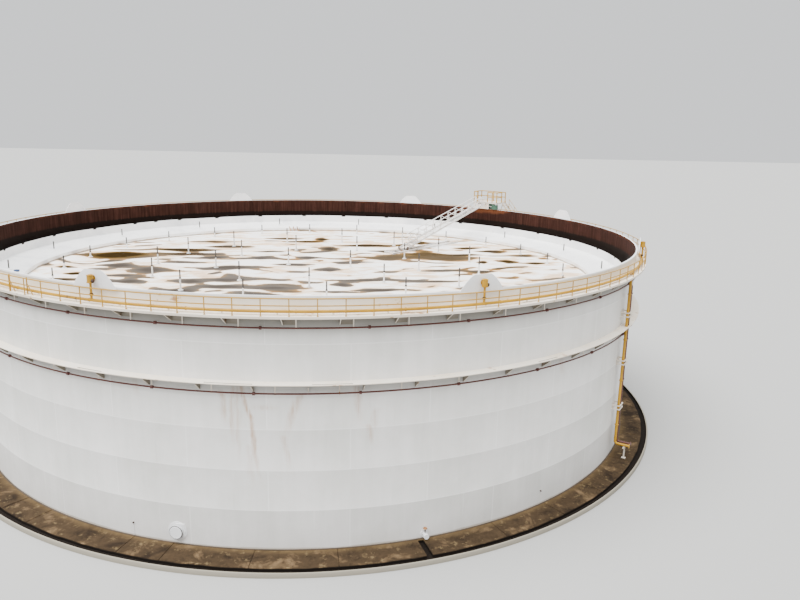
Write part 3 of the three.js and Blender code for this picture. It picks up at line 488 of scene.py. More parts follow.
# Roof sheet under white coal-tar paint: white and chalky on the crowns, with rain lying in the hollows.
# Attribute "hollow" is how far a point lies below the water line, "silt" how brown its water is
def deckLook():
    look = {"white": "#f9f8f5", "stain": "#e0ba8e", "rust": "#b07f4a", "tide": "#7d6548",
            "shallow": "#5c554e", "water": "#433d38", "brown": "#594522", "olive": "#281c06"}
    material, shader, node = newMaterial("chalkyRoofPaint", roughness=0.6)
    place = node("TexCoord", output="Object")
    hollow = node("Attribute", {"attribute_name": "hollow"}, "Fac")
    silt = node("Attribute", {"attribute_name": "silt"}, "Fac")
    ragged = node("TexNoise", {"Vector": place, "Scale": 3.2, "Detail": 5.0, "Roughness": 0.6})
    depth = node("Math", multiplyAdd | {0: ragged, 1: 0.16, 2: hollow})
    smearPlace = node("Mapping", {"Vector": place, "Scale": (0.45, 0.9, 1.0)})
    smear = node("TexNoise", {
        "Vector": smearPlace, "Scale": 1.3, "Detail": 5.0, "Roughness": 0.62, "Distortion": 0.6})
    dry = node("ValToRGB", {0: smear, "stops": [
        (0.48, look["white"]), (0.6, look["stain"]), (0.76, look["rust"])]})
    dry = node("Mix", {0: 0.75, 6: look["white"], 7: dry})
    clear = node("ValToRGB", {0: depth, "stops": [
        (0.10, look["tide"]), (0.2, look["shallow"]), (0.55, look["water"])]})
    muddy = node("ValToRGB", {0: depth, "stops": [
        (0.08, look["rust"]), (0.2, look["brown"]), (0.42, look["olive"])]})
    pool = node("Mix", {0: silt, 6: clear, 7: muddy})
    wet = node("MapRange", smooth | {0: depth, "From Min": 0.075, "From Max": 0.11})
    tideWidth = node("MapRange", smooth | {0: depth, "From Min": -0.08, "From Max": 0.09, "To Max": 0.55})
    dry = node("Mix", {0: tideWidth, 6: dry, 7: look["stain"]})
    tone = node("Mix", {0: wet, 6: dry, 7: pool})
    rough = node("MapRange", {0: wet, "To Min": 0.62, "To Max": 0.8})
    dryness = node("Math", subtract | {0: 1.0, 1: wet})
    bump = node("Bump", {"Distance": 0.006, "Strength": dryness, "Height": ragged})
    setSockets(shader, {"Specular IOR Level": 0.02, "Base Color": tone, "Roughness": rough, "Normal": bump})
    return material


# Painted pontoon top: the brightest sheet, with thin grey runs towards the rim and a tan line at its foot
def pontoonLook():
    look = {"white": "#fafaf9", "grey": "#dfe0e2", "tan": "#8a6f48", "lineFrom": 6.01, "lineWidth": 0.05}
    material, shader, node = newMaterial("whitePontoonPaint", roughness=0.4)
    place = node("TexCoord", output="Object")
    height = node("SeparateXYZ", {0: place}, "Z")
    cloud = node("TexNoise", {"Vector": place, "Scale": 0.8, "Detail": 5.0, "Roughness": 0.6})
    tone = node("ValToRGB", {0: cloud, "stops": [(0.5, look["white"]), (0.75, look["grey"])]})
    low = node("Math", multiplyAdd | {0: cloud, 1: 0.2, 2: height})
    line = node("MapRange", smooth | {
        0: low, "From Min": look["lineFrom"] + look["lineWidth"], "From Max": look["lineFrom"],
        "To Max": 0.85})
    tone = node("Mix", {0: line, 6: tone, 7: look["tan"]})
    bump = node("Bump", {"Strength": 0.2, "Distance": 0.02, "Height": cloud})
    setSockets(shader, {"Base Color": tone, "Normal": bump})
    return material


whiteShell, rustedPlate, agedConcrete = shellPaint(), innerWallSteel(), concreteLook()
deckPaint, pontoonPaint = deckLook(), pontoonLook()
girderPaint = enamel("whiteGirderEnamel", "#dfd6c8", "#cfc2b0", "#97724a", rustShare=0.16, speck=0.12,
                     cloudSize=1.2)
# Dark grey that stands for shade: the gusset webs, the sheets between the top gussets and the mid girder's
# strips are painted shade and shadow
gussetShadePaint = enamel("paintedShadeGussetEnamel", "#857d70", "#70685b", "#6b4e34", rustShare=0.16, speck=0.1)
walkwayPaint = enamel("creamWalkwayEnamel", "#f3ecdf", "#eadcc6", "#b08a63", rustShare=0.17, speck=0.2,
                      cloudSize=1)
yellowEnamel = enamel("yellowPipeEnamel", "#b88a00", "#a07500", "#64491a", rustShare=0.14, speck=0.06)
ochreEnamel = enamel("ochreRailEnamel", "#ad820c", "#a37c24", "#6a4f1c", rustShare=0.16)
maroonEnamel = enamel("maroonPipeEnamel", "#4a1813", "#562c22", "#3a211d", speck=0.08)
boardPaint = enamel("whiteBoardEnamel", "#f4f4f4", "#e6e7e8", "#b08f66", rustShare=0.06, speck=0.12)
ladderPaint = enamel("whiteLadderEnamel", "#f0efed", "#d8d4ce", "#86694c", rustShare=0.16)
darkSteel = enamel("rustedForgedSteel", "#31241d", "#3b2b23", "#513219", rustShare=0.3, roughness=0.7)
pinSteel = enamel("dullGalvanisedSteel", "#2f2c2a", "#45413d", "#4a382a", speck=0.03, roughness=0.55)
rustEnamel = enamel("orangeRustEnamel", "#a8713a", "#b5854e", "#7a5236", rustShare=0.3, roughness=0.7)
sealRubber = enamel("blackSealRubber", "#2b2927", "#3a3734", "#4a3f34", rustShare=0.1, speck=0.08,
                    roughness=0.8)
footEnamel = enamel("barePlateEdge", "#382c1f", "#46382a", "#4a3826", roughness=0.7)
greenEnamel = enamel("greenBoxEnamel", "#27493a", "#345c49", "#43432a", rustShare=0.08)
blueEnamel = enamel("blueCapEnamel", "#243c66", "#37517a", "#5a5a5a", rustShare=0.08, speck=0.04)
print("materials: done")


# Azimuths every step degrees and at both edges of each notch, and whether each azimuth lies in a notch
def notchAngles(step, centres, half, ease, more=()):
    centres = np.array(centres)[:, None]
    edges = (centres + [-half - ease, -half, half, half + ease]).ravel()
    angles = np.unique(np.round(np.concatenate([np.arange(-180, 180, step), edges, more]), 3))
    return angles, (np.abs(angles[:, None] - centres.T) <= half + 1e-3).any(axis=1)


# Concrete ring: apron, drain channel and kerb, with open joints and the gap for the drain pipe
foundation = {
    "rise": 0.3, "inner": 26.61, "apron": 29.27, "channel": 29.6, "kerb": 29.715, "channelDepth": 0.2,
    "innerRow": 27.45, "apronRows": [29.0, 28.6, 28.1],  # rows of points for the worn surface
    "joints": [-132.9, -127.4, -113.3, -107.9, -97.8, -88.0, -67.5, -58.0, -49.2, -38.0, -27.5, -15.0, -4.0,
               7.5, 19.0, 31.0, 42.0, 55.5, 66.0, 78.5, 90.0, 102.0, 113.0, 126.0, 138.5, 150.0, 163.0,
               175.5, -172.0, -160.5, -147.0],
    "jointHalfWidth": 0.05, "jointDepth": 0.03, "trench": (-78.05, -77.35), "trenchFrom": 27.62,
}


# The ring's profile revolved: noise wears the channel's edge back and the top down, each joint lowers the
# top, and the trench takes it down to the channel's bed
def foundationShape():
    f = foundation
    edges, ease = np.array(f["trench"]), 0.02
    angles, inJoint = notchAngles(0.4, f["joints"], f["jointHalfWidth"], ease,
                                  np.concatenate([edges, edges + [-ease, ease]]))
    inTrench = (angles >= edges[0] - 1e-3) & (angles <= edges[1] + 1e-3)
    inner, apron, channel, kerb = (f[key] for key in ("inner", "apron", "channel", "kerb"))
    base, bed = -f["rise"], -f["channelDepth"]
    radius = np.array([inner, kerb, kerb, kerb - 0.02, channel + 0.015, channel, channel, apron - 0.01,
                       apron - 0.02, apron - 0.06, *f["apronRows"], f["trenchFrom"], f["trenchFrom"] - 0.001,
                       f["innerRow"], inner])
    height = np.array([base, base, -0.03, 0.0, 0.0, -0.02, bed, bed, -0.06, -0.015, *[0.0] * 7])
    radius, height = np.tile(radius, (len(angles), 1)), np.tile(height, (len(angles), 1))
    along = np.radians(angles) * 29 + 500  # metres round the apron, moved clear of the noise's origin
    worn = unevenness(along, 0 * along, 0.7, 4) + 0.5 * unevenness(along, 0 * along, 0.25, 5)
    radius[:, 7:10] -= 0.05 * worn[:, None]
    top = slice(8, 16)
    waves = unevenness(along[:, None], radius[:, top] * 2, 1.7, 6) - 1
    height[:, 10:16] += 0.012 * waves[:, 2:]
    height[:, top] -= f["jointDepth"] * inJoint[:, None]
    height[inTrench, 7:14] = bed
    return revolve(radius, height, angles)


makePiece("ringFoundation", foundationShape(), [agedConcrete], "tank", ["ring_foundation"])
paintNode("foundation_pad", agedConcrete)
print("foundation: done")

# Shell: rolled courses butt-welded, each weld a low bead, with a curb angle round the rim
shell = {"radius": 27.43, "plate": 0.05, "rim": 14.98, "curb": 0.07, "curbFoot": 14.88, "walkway": 14.03,
         "courses": [2.46, 4.92, 7.38, 9.84, 12.3], "beadHeight": 0.006, "beadWidth": 0.05, "plates": 19,
         "firstPlate": 4}


# A profile up the shell revolved, with a bump at each round weld; upright welds stand half a plate apart
# from one course to the next
def shellShape():
    s = shell
    outer, inner, rim, curb = s["radius"], s["radius"] - s["plate"], s["rim"], s["radius"] + s["curb"]
    halfBead = s["beadWidth"] / 2
    radius, height = [inner, outer], [0.002, 0.002]
    for seam in s["courses"]:
        radius += [outer, outer + s["beadHeight"], outer]
        height += [seam - halfBead, seam, seam + halfBead]
    # The curb angle takes the brighter board white, a painted highlight that makes its upright face as bright
    # as the lit deck
    paints = [0] * len(radius) + [1, 2, 2, 2, 3]
    radius += [outer, outer, curb, curb, inner]
    height += [s["walkway"], s["curbFoot"], s["curbFoot"], rim, rim]
    levels = [0.0] + s["courses"] + [s["walkway"] - 0.05]
    step = 360 / s["plates"]
    beads = []
    for course, (low, high) in enumerate(zip(levels[:-1], levels[1:])):
        angle = np.arange(s["plates"]) * step + (course % 2) * step / 2 + s["firstPlate"]
        beads.append(upright(outer, angle, low + 0.03, high - 0.03, halfBead, 4, 0.005))
    return joinShapes(revolve(radius, height, round360, paints=paints), *beads)


makePiece("shellWall", shellShape(), [whiteShell, walkwayPaint, boardPaint, rustedPlate], "tank",
          numbered("shell_segment", 6))

# Bottom plate's edge, which shows as a rusty lip round the foot
footLip = {"inner": 27.36, "outer": 27.53, "bottom": 0.001, "edge": 0.0132, "top": 0.022}
makePiece("bottomPlateLip", revolve([footLip[key] for key in ("inner", "outer", "outer", "inner")],
                                    [footLip[key] for key in ("bottom", "bottom", "edge", "top")], round360),
          [footEnamel], "tank")
paintNode("bottom_plate", darkSteel)
print("shell: done")

# Wind girders: a plate with a turned-down lip, gussets under it with a flat bar along their sloping edge.
# The gusset webs are a painted-shade grey; the top girder has dark sheets between its gussets as painted
# shadow, the mid one dark strips on its plate as painted shadow lines
girders = {
    "top": {"z": 14.03, "outer": 28.23, "lip": 0.14, "gussets": 57, "gussetDepth": 0.62, "gussetFrom": -94.07,
            "shadowSheetWidth": 1.45, "shadowStrips": []},
    "mid": {"z": 10.2, "outer": 28.06, "lip": 0.05, "gussets": 58, "gussetDepth": 0.58, "gussetFrom": -97.48,
            "shadowSheetWidth": 0, "shadowStrips": [(-102.82, -97.38), (-90.86, -86.36), (-62.0, -58.5), (-119.0, -115.5)]},
    "shadowStripRadius": (27.9, 27.95), "shadowStripHeight": 0.012, "plate": 0.016, "gussetThickness": 0.02,
    "gussetFoot": 0.06, "gussetEdge": 0.12, "barHalfWidth": 0.022, "barHalfDepth": 0.006,
}


# The girder's profile revolved, and for each gusset a flat outline made thick sideways
def girderShape(size):
    g = girders
    plate, top, outer, inner = g["plate"], size["z"], size["outer"], shell["radius"] + 0.001
    under, edge, lip = top - plate, outer - plate - 0.002, top - size["lip"]
    ring = revolve([inner, outer - plate, outer - plate, outer, outer, outer - 0.006, inner],
                   [under, under, lip, lip, top - 0.006, top, top], round360, paints=[0, 0, 0, 0, 1, 1, 0])
    angle = evenly(size["gussetFrom"], size["gussets"])
    foot, toe, nose = under - size["gussetDepth"], inner + g["gussetFoot"], under - g["gussetEdge"]
    outline = np.array([[inner, under], [inner, foot], [toe, foot], [edge, nose], [edge, under]])
    side = np.array([-1, 1]) * math.degrees(g["gussetThickness"] / 2 / inner)
    webs = prisms(*(
        polar(outline[None, :, 0], (angle + turn)[:, None], outline[None, :, 1]) for turn in side))
    bars = rods(polar(toe, angle, foot), polar(edge, angle, nose), g["barHalfWidth"], 4, g["barHalfDepth"])
    # paint 2, the gusset webs' dark grey, is painted shade
    shapes = [ring, repaint(webs, 2), bars]
    # dark strips on the mid girder's plate: painted shadow lines
    shadowStripRadius = np.array(g["shadowStripRadius"])[[0, 1, 1, 0]]
    shadowStripTop = top + np.array([0, 0, 1, 1]) * g["shadowStripHeight"]
    for start, end in size["shadowStrips"]:
        shapes.append(revolve(shadowStripRadius, shadowStripTop, np.linspace(start, end, 9), closed=False, paints=2))
    # dark sheets on the shell beside each top gusset: painted shadow cast by the gussets
    if size["shadowSheetWidth"]:
        shapes.append(upright(inner + 0.004, angle + size["shadowSheetWidth"] / 2, foot, under - 0.001,
                              math.radians(size["shadowSheetWidth"]) * inner / 2, 4, 0.006, 2))
    return joinShapes(*shapes)


for level in ("top", "mid"):
    makePiece(level + "WindGirder", girderShape(girders[level]), [girderPaint, walkwayPaint, gussetShadePaint],
              "tank", numbered(level + "_girder", 4))

# Walkway rail: posts on flat shoes, a top rail and a mid rail, all of tube
rail = {"radius": 28.17, "top": 14.98, "mid": 14.6, "tube": 0.033, "post": 0.032, "posts": 120,
        "phase": -93.2, "foot": 14.03, "shoe": (28.1, 28.22)}


# Two ring pipes, and upright bars at even steps
def railShape():
    r = rail
    angle = evenly(r["phase"], r["posts"])
    return joinShapes(*(ringPipe(r["radius"], z, r["tube"], 8) for z in (r["top"], r["mid"])),
                      upright(r["radius"], angle, r["foot"], r["top"], r["post"], 6),
                      spoke(*r["shoe"], angle, r["foot"] + 0.006, 0.05, 4, 0.006))


makePiece("walkwayRail", railShape(), [ochreEnamel], "tank", numbered("walkway_rail", 4))
print("walkway rail: done")

# Foam main: a pipe round the walkway on saddles, with flanged joints
foamMain = {"radius": 27.86, "z": 14.23, "pipe": 0.09, "saddles": 60, "saddlePhase": 1.5, "joints": 30,
            "jointPhase": -104.5, "flange": 0.11, "halfFlange": 0.06}  # half a flange's thickness, in degrees


# A ring pipe, upright bars for its saddles and short straight bars along it for its flanges
def foamMainShape():
    f = foamMain
    radius, z, joint, half = f["radius"], f["z"], evenly(f["jointPhase"], f["joints"]), f["halfFlange"]
    return joinShapes(ringPipe(radius, z, f["pipe"], 14),
                      upright(radius, evenly(f["saddlePhase"], f["saddles"]), rail["foot"], z - 0.03, 0.05, 4,
                              0.012, 1),
                      rods(polar(radius, joint - half, z), polar(radius, joint + half, z), f["flange"], 12))


makePiece("foamMain", foamMainShape(), [yellowEnamel, walkwayPaint], "tank",
          ["foam_ring_main"])

# Foam boards: a plate in three panels, with sloping shoulders and a flat crown, and a flat bar over each
# joint. The shoulder falls by drop t^bend, t going from 0 at the crown to 1 at the foot's end
board = {"halfFoot": 1.45, "halfCrown": 0.5, "bottom": 14.88, "top": 15.88, "drop": 0.95, "bend": 1.45,
         "plate": 0.03, "bulge": 0.05, "radius": 27.56, "seams": (-0.5, 0.5), "grid": (59, 11)}
chamberAngles = np.array([19.5, 65.2, 110.6, 154.6, -161, -116.2, -70.8, -25])


# A grid of s across and v up, bulged outwards by (1 - (s / halfFoot)²) sin(v π / 2), doubled by the plate's
# thickness and closed round its edge
def boardShape():
    b = board
    rows, columns = b["grid"]
    s, v = np.linspace(-1, 1, rows) * b["halfFoot"], np.linspace(0, 1, columns)
    shoulder = np.clip((np.abs(s) - b["halfCrown"]) / (b["halfFoot"] - b["halfCrown"]), 0, 1)
    topLine = b["top"] - b["drop"] * shoulder ** b["bend"]
    height = b["bottom"] + (topLine[:, None] - b["bottom"]) * v[None]
    border, count = gridBorder(rows, columns), rows * columns
    after = np.roll(border, -1)
    rim = np.stack([after, border, border + count, after + count], axis=-1)
    faces = [(gridFaces(rows, columns), 0), (gridFaces(rows, columns)[:, ::-1] + count, 0), (rim, 0)]
    bulge = b["bulge"] * (1 - (s[:, None] / b["halfFoot"]) ** 2) * np.sin(np.pi * v[None] * 0.5)
    shapes = []
    for angle in chamberAngles:
        outward, tangent = radialFrame(angle)
        sides = []
        for thick in (0, b["plate"]):
            reach = (b["radius"] + thick + bulge)[..., None]
            points = (reach * outward + (s[:, None] + 0 * height)[..., None] * tangent) * modelScale
            points[..., 2] = height * modelScale + lift
            sides.append(points.reshape(-1, 3))
        shapes.append((np.concatenate(sides), faces))
        for seam in b["seams"]:
            outer = sides[1].reshape(rows, columns, 3)[np.argmin(np.abs(s - seam))]
            shapes.append(rods(outer[:-1], outer[1:], 0.03, 4, 0.008))
    return joinShapes(*shapes)


makePiece("foamBoards", boardShape(), [boardPaint], "tank", numbered("foam_board", 8))

# Foam chambers: a thin pipe stands on the main and ends in a fat head whose neck turns in to the board
chamber = {"pipe": 0.065, "head": 0.17, "headFrom": 15.2, "headTo": 15.65, "neck": 0.1, "neckZ": 15.43,
           "neckTo": 27.645, "flangeFrom": 27.67, "flange": 0.06, "coupling": 14.55, "capDisc": 0.11}


# Upright round discs one on another, and round bars from the head to the board
def chamberShape():
    c, stand = chamber, foamMain["radius"]
    foot, top, joint, head = c["headFrom"], c["headTo"], c["coupling"], c["head"]
    stack = [  # low, high, radius, paint
        (foamMain["z"], foot + 0.02, c["pipe"], 0), (joint - 0.07, joint + 0.07, 0.085, 1),
        (joint - 0.02, joint + 0.02, 0.12, 1), (foot - 0.04, foot + 0.02, 0.1, 0),
        (foot, foot + 0.04, head + 0.03, 0), (foot + 0.03, top - 0.05, head, 0),
        (top - 0.06, top - 0.03, head + 0.02, 0), (top - 0.04, top, c["capDisc"], 0)]
    shapes = []
    for angle in chamberAngles:
        shapes += [upright(stand, angle, low, high, size, 14, paint=paint)
                   for low, high, size, paint in stack]
        shapes.append(spoke(stand, c["neckTo"], angle, c["neckZ"], c["neck"], 14))
        shapes.append(spoke(c["flangeFrom"], c["neckTo"], angle, c["neckZ"], c["neck"] + c["flange"], 16))
        shapes.append(rods(polar(stand + 0.02, angle + 0.3, foot + 0.11),
                           polar(stand + 0.02, angle + 0.46, foot + 0.09),
                           c["capDisc"], 14, paint=1))
    return joinShapes(*shapes)


makePiece("foamChambers", chamberShape(), [yellowEnamel, darkSteel], "tank")
print("foam system: done")

# Cooling water rings under the girders: pipe, clamps on hangers and flanged joints
waterRings = [
    {"name": "topCoolingRing", "node": "top_cooling_water_ring", "radius": 27.64, "z": 13.26,
     "jointFrom": -96.47, "hangerFrom": -92.57, "hangers": 57, "under": 14.0},
    {"name": "midCoolingRing", "node": "mid_cooling_water_ring", "radius": 27.62, "z": 9.56,
     "jointFrom": -97.4, "hangerFrom": -95.0, "hangers": 50, "under": 10.17},
]
waterPipe = {"radius": 0.05, "flange": 0.1, "halfFlange": 0.14, "joints": 30, "hangerWidth": 0.03,
             "clamp": 0.07}
for ring in waterRings:
    radius, z, half = ring["radius"], ring["z"], waterPipe["halfFlange"]
    joint = evenly(ring["jointFrom"], waterPipe["joints"])
    flanges = rods(polar(radius, joint - half, z), polar(radius, joint + half, z), waterPipe["flange"], 10)
    makePiece(ring["name"], joinShapes(ringPipe(radius, z, waterPipe["radius"], 10), flanges),
              [maroonEnamel], "tank", [ring["node"]])
    hanger = evenly(ring["hangerFrom"], ring["hangers"])
    width, clamp = waterPipe["hangerWidth"], waterPipe["clamp"]
    plates = upright(radius, hanger, z, ring["under"], width, 4, 0.01)
    clamps = spoke(radius - clamp, radius + clamp, hanger, z - 0.06, width, 4, 0.01)
    makePiece(ring["name"] + "Hangers", joinShapes(plates, clamps), [girderPaint], "tank")
print("cooling water rings: done")

# Risers: the yellow and the maroon pipe climb side by side through the girders; at the foot each turns
# out and ends in a blind flange
risers = {"foamAngle": -37.6, "waterAngle": -36.7, "radius": 27.86, "low": 1.1, "stub": 28.9, "flange": 0.04,
          "pipe": 0.1, "branch": 0.055, "bend": 0.22, "collars": [2.6, 6.1, 9.2, 12.6]}
foamAngle, waterAngle = risers["foamAngle"], risers["waterAngle"]


# A circle carried along a quarter bend, the upright and, where reach is less than the radius, a quarter
# bend inwards. At angle t the lower bend lies (1 - sin t) bends out from its corner and (1 - cos t) above it,
# the upper one (1 - cos t) bends in and (1 - sin t) below it
def riserShape(angle, top, reach):
    r = risers
    t = np.radians(np.linspace(0, 90, 7))
    low, edge, pipe, bend = r["low"], r["radius"], r["pipe"], r["bend"]
    turnIn = edge - reach
    head = (polar(edge - turnIn + turnIn * np.cos(t), angle, top - turnIn + turnIn * np.sin(t)) if turnIn
            else polar([edge], angle, [top]))
    path = np.concatenate([
        polar([r["stub"]], angle, [low]),
        polar(edge + bend - bend * np.sin(t), angle, low + bend - bend * np.cos(t)), head])
    levels = np.array(r["collars"])
    levels = levels[levels < top - 0.5]
    return joinShapes(sweep(path, circle(pipe, 14), radialFrame(angle)[1]),
                      spoke(r["stub"] - 0.005, r["stub"] + r["flange"], angle, low, pipe * 1.6, 16),
                      upright(edge, angle, levels - 0.04, levels + 0.04, pipe * 1.4, 12))


makePiece("foamRiser", riserShape(foamAngle, foamMain["z"] - 0.06, risers["radius"]), [yellowEnamel], "tank",
          ["foam_riser"])
topRing, midRing = waterRings
makePiece("coolingRiser", joinShapes(
    riserShape(waterAngle, topRing["z"], topRing["radius"]),
    spoke(risers["radius"], midRing["radius"], waterAngle, midRing["z"], risers["branch"], 10)),
    [maroonEnamel], "tank", ["cooling_water_riser"])

# Riser brackets: two arms from a wall plate to a cross bar at each level, and a post with a cross arm
# under the turned-out ends
riserBracket = {"levels": [4.0, 7.5, 11.1], "spread": 0.14, "wall": 27.43, "reach": 28.04, "bar": 28.0,
                "plateRadius": 27.44, "halfPlate": 0.26, "post": 28.55, "postTop": 0.95,
                # degrees from the yellow and from the maroon pipe
                "armTurns": (-0.42, 0.38), "barTurns": (-0.5, 0.46), "postTurns": (-0.55, 0.5)}


# Square bars between points given by radius, azimuth and height
def riserBracketShape():
    b = riserBracket
    shapes = []
    middle, post, arm = (foamAngle + waterAngle) / 2, b["post"], b["postTop"]
    arms, bars, foot = (
        (foamAngle + b[key][0], waterAngle + b[key][1]) for key in ("armTurns", "barTurns", "postTurns"))

    def beam(start, end, width, depth):
        shapes.append(rods(polar(*start), polar(*end), width, 4, depth))

    for z in b["levels"]:
        for level in (z - b["spread"], z + b["spread"]):
            for side in arms:
                beam((b["wall"], side, level), (b["reach"], side, level), 0.035, 0.035)
            beam((b["bar"], bars[0], level), (b["bar"], bars[1], level), 0.03, 0.045)
        beam((b["plateRadius"], middle, z - b["halfPlate"]), (b["plateRadius"], middle, z + b["halfPlate"]),
             0.4, 0.012)
    beam((post, middle, 0.0), (post, middle, arm), 0.05, 0.05)
    beam((post, foot[0], arm), (post, foot[1], arm), 0.04, 0.04)
    beam((post, middle, 0.0), (post, middle, 0.015), 0.14, 0.14)
    return joinShapes(*shapes)


makePiece("riserBrackets", riserBracketShape(), [girderPaint], "tank")
print("risers: done")

# Shell fittings near the foot: bolted manways, nozzles and the drain. They start just inside the shell's face
weldRadius = 27.42
manway = {"angles": [-107.4, 72.4], "z": 0.79, "neck": 0.28, "flange": 0.4, "darkRing": 0.415, "cover": 0.375,
          "reach": 0.22, "bolts": 20, "pad": 0.58, "davitTurn": 1.15, "davitHeight": 0.6}


# Bolts at even steps t round a circle: centre + radius (cos t sideways + sin t up), lying outwards
def boltCircle(angle, z, radius, circleRadius, count, length, width=0.02):
    outward, tangent = radialFrame(angle)
    turn = 2 * np.pi * (np.arange(count) + 0.5) / count
    around = np.cos(turn)[:, None] * tangent + np.sin(turn)[:, None] * [0, 0, 1]
    spot = polar(radius, angle, z) + modelScale * circleRadius * around
    return rods(spot, spot + outward * length * modelScale, width, 6)


# Round pad, neck, flange, a dark ring and cover one outside the next, bolts, and a davit that holds the cover
def manwayShape(angle):
    m = manway
    z, face = m["z"], weldRadius + m["reach"]
    davit, hook, beam = angle + m["davitTurn"], face + 0.02, z + m["davitHeight"]
    discs = [(weldRadius, weldRadius + 0.03, m["pad"], 40, 0), (weldRadius, face, m["neck"], 32, 0),
             (face - 0.03, face, m["flange"], 40, 0), (face, hook, m["darkRing"], 40, 1),
             (hook, face + 0.05, m["cover"], 40, 0)]
    return joinShapes(
        *(spoke(near, far, angle, z, size, sides, paint=paint) for near, far, size, sides, paint in discs),
        boltCircle(angle, z, face - 0.05, m["cover"] - 0.045, m["bolts"], 0.12),
        upright(hook, davit, z - 0.1, z + 0.62, 0.025),
        rods(polar(hook, davit, beam), polar(hook, angle, beam), 0.022),
        upright(hook, angle, z + 0.45, z + 0.61, 0.015, 6))


for i, angle in enumerate(manway["angles"]):
    makePiece(f"shellManway{i + 1}", manwayShape(angle), [boardPaint, sealRubber], "tank",
              [f"shell_manway_{i + 1}"])

drain = {"angle": -77.1, "z": 0.28, "pipe": 0.09, "reach": 27.8, "flanges": ([27.66, 27.80], [27.70, 27.86]),
         "flange": 0.16, "pad": 0.25, "stem": 27.58, "wheel": 0.13, "wheelZ": (0.68, 0.71), "stemTop": 0.7}


# Water draw: pipe, two flanges and pad lying outwards, and a valve's stem and handwheel standing on the pipe
def drainShape():
    d = drain
    angle, z = d["angle"], d["z"]
    return joinShapes(spoke(weldRadius, d["reach"], angle, z, d["pipe"], 14),
                      spoke(*d["flanges"], angle, z, d["flange"], 16),
                      spoke(weldRadius, weldRadius + 0.03, angle, z, d["pad"], 20),
                      upright(d["stem"], angle, z, d["stemTop"], 0.03, paint=1),
                      upright(d["stem"], angle, *d["wheelZ"], d["wheel"], 16, paint=2))


makePiece("waterDraw", drainShape(), [boardPaint, darkSteel, rustEnamel], "tank",
          ["water_draw_nozzle"])

nozzle = {"angles": (128, 134), "z": 0.8, "neck": 0.3, "reach": 27.95, "pad": 0.58,
          "flanges": ([27.88, 27.94], [27.935, 27.99]), "flange": 0.46, "boltsFrom": 27.86,
          "boltCircle": 0.39}


# Product nozzle: neck, pad, a pair of flanges and their bolts
def nozzleShape(angle):
    n = nozzle
    return joinShapes(spoke(weldRadius, n["reach"], angle, n["z"], n["neck"], 28),
                      spoke(weldRadius, weldRadius + 0.03, angle, n["z"], n["pad"], 36),
                      spoke(*n["flanges"], angle, n["z"], n["flange"], 36),
                      boltCircle(angle, n["z"], n["boltsFrom"], n["boltCircle"], 16, 0.15))


for i, angle in enumerate(nozzle["angles"]):
    makePiece(f"productNozzle{i + 1}", nozzleShape(angle), [girderPaint], "tank",
              [f"product_nozzle_{i + 1}"])

# Three small instrument tappings low on the shell, and the thin drain pipe that runs down from the first
tappings = {"angles": np.array([-113.4, -58.7, 25.0]), "z": np.array([0.86, 0.95, 0.9]), "reach": 27.52,
            "pipe": 27.46, "pipeZ": (0.05, 0.82)}
makePiece("tappings", joinShapes(
    spoke(weldRadius, tappings["reach"], tappings["angles"], tappings["z"], 0.045, 10),
    upright(tappings["pipe"], tappings["angles"][:1], *tappings["pipeZ"], 0.012, 6, paint=1)),
    [darkSteel, boardPaint], "tank")
print("shell fittings: done")

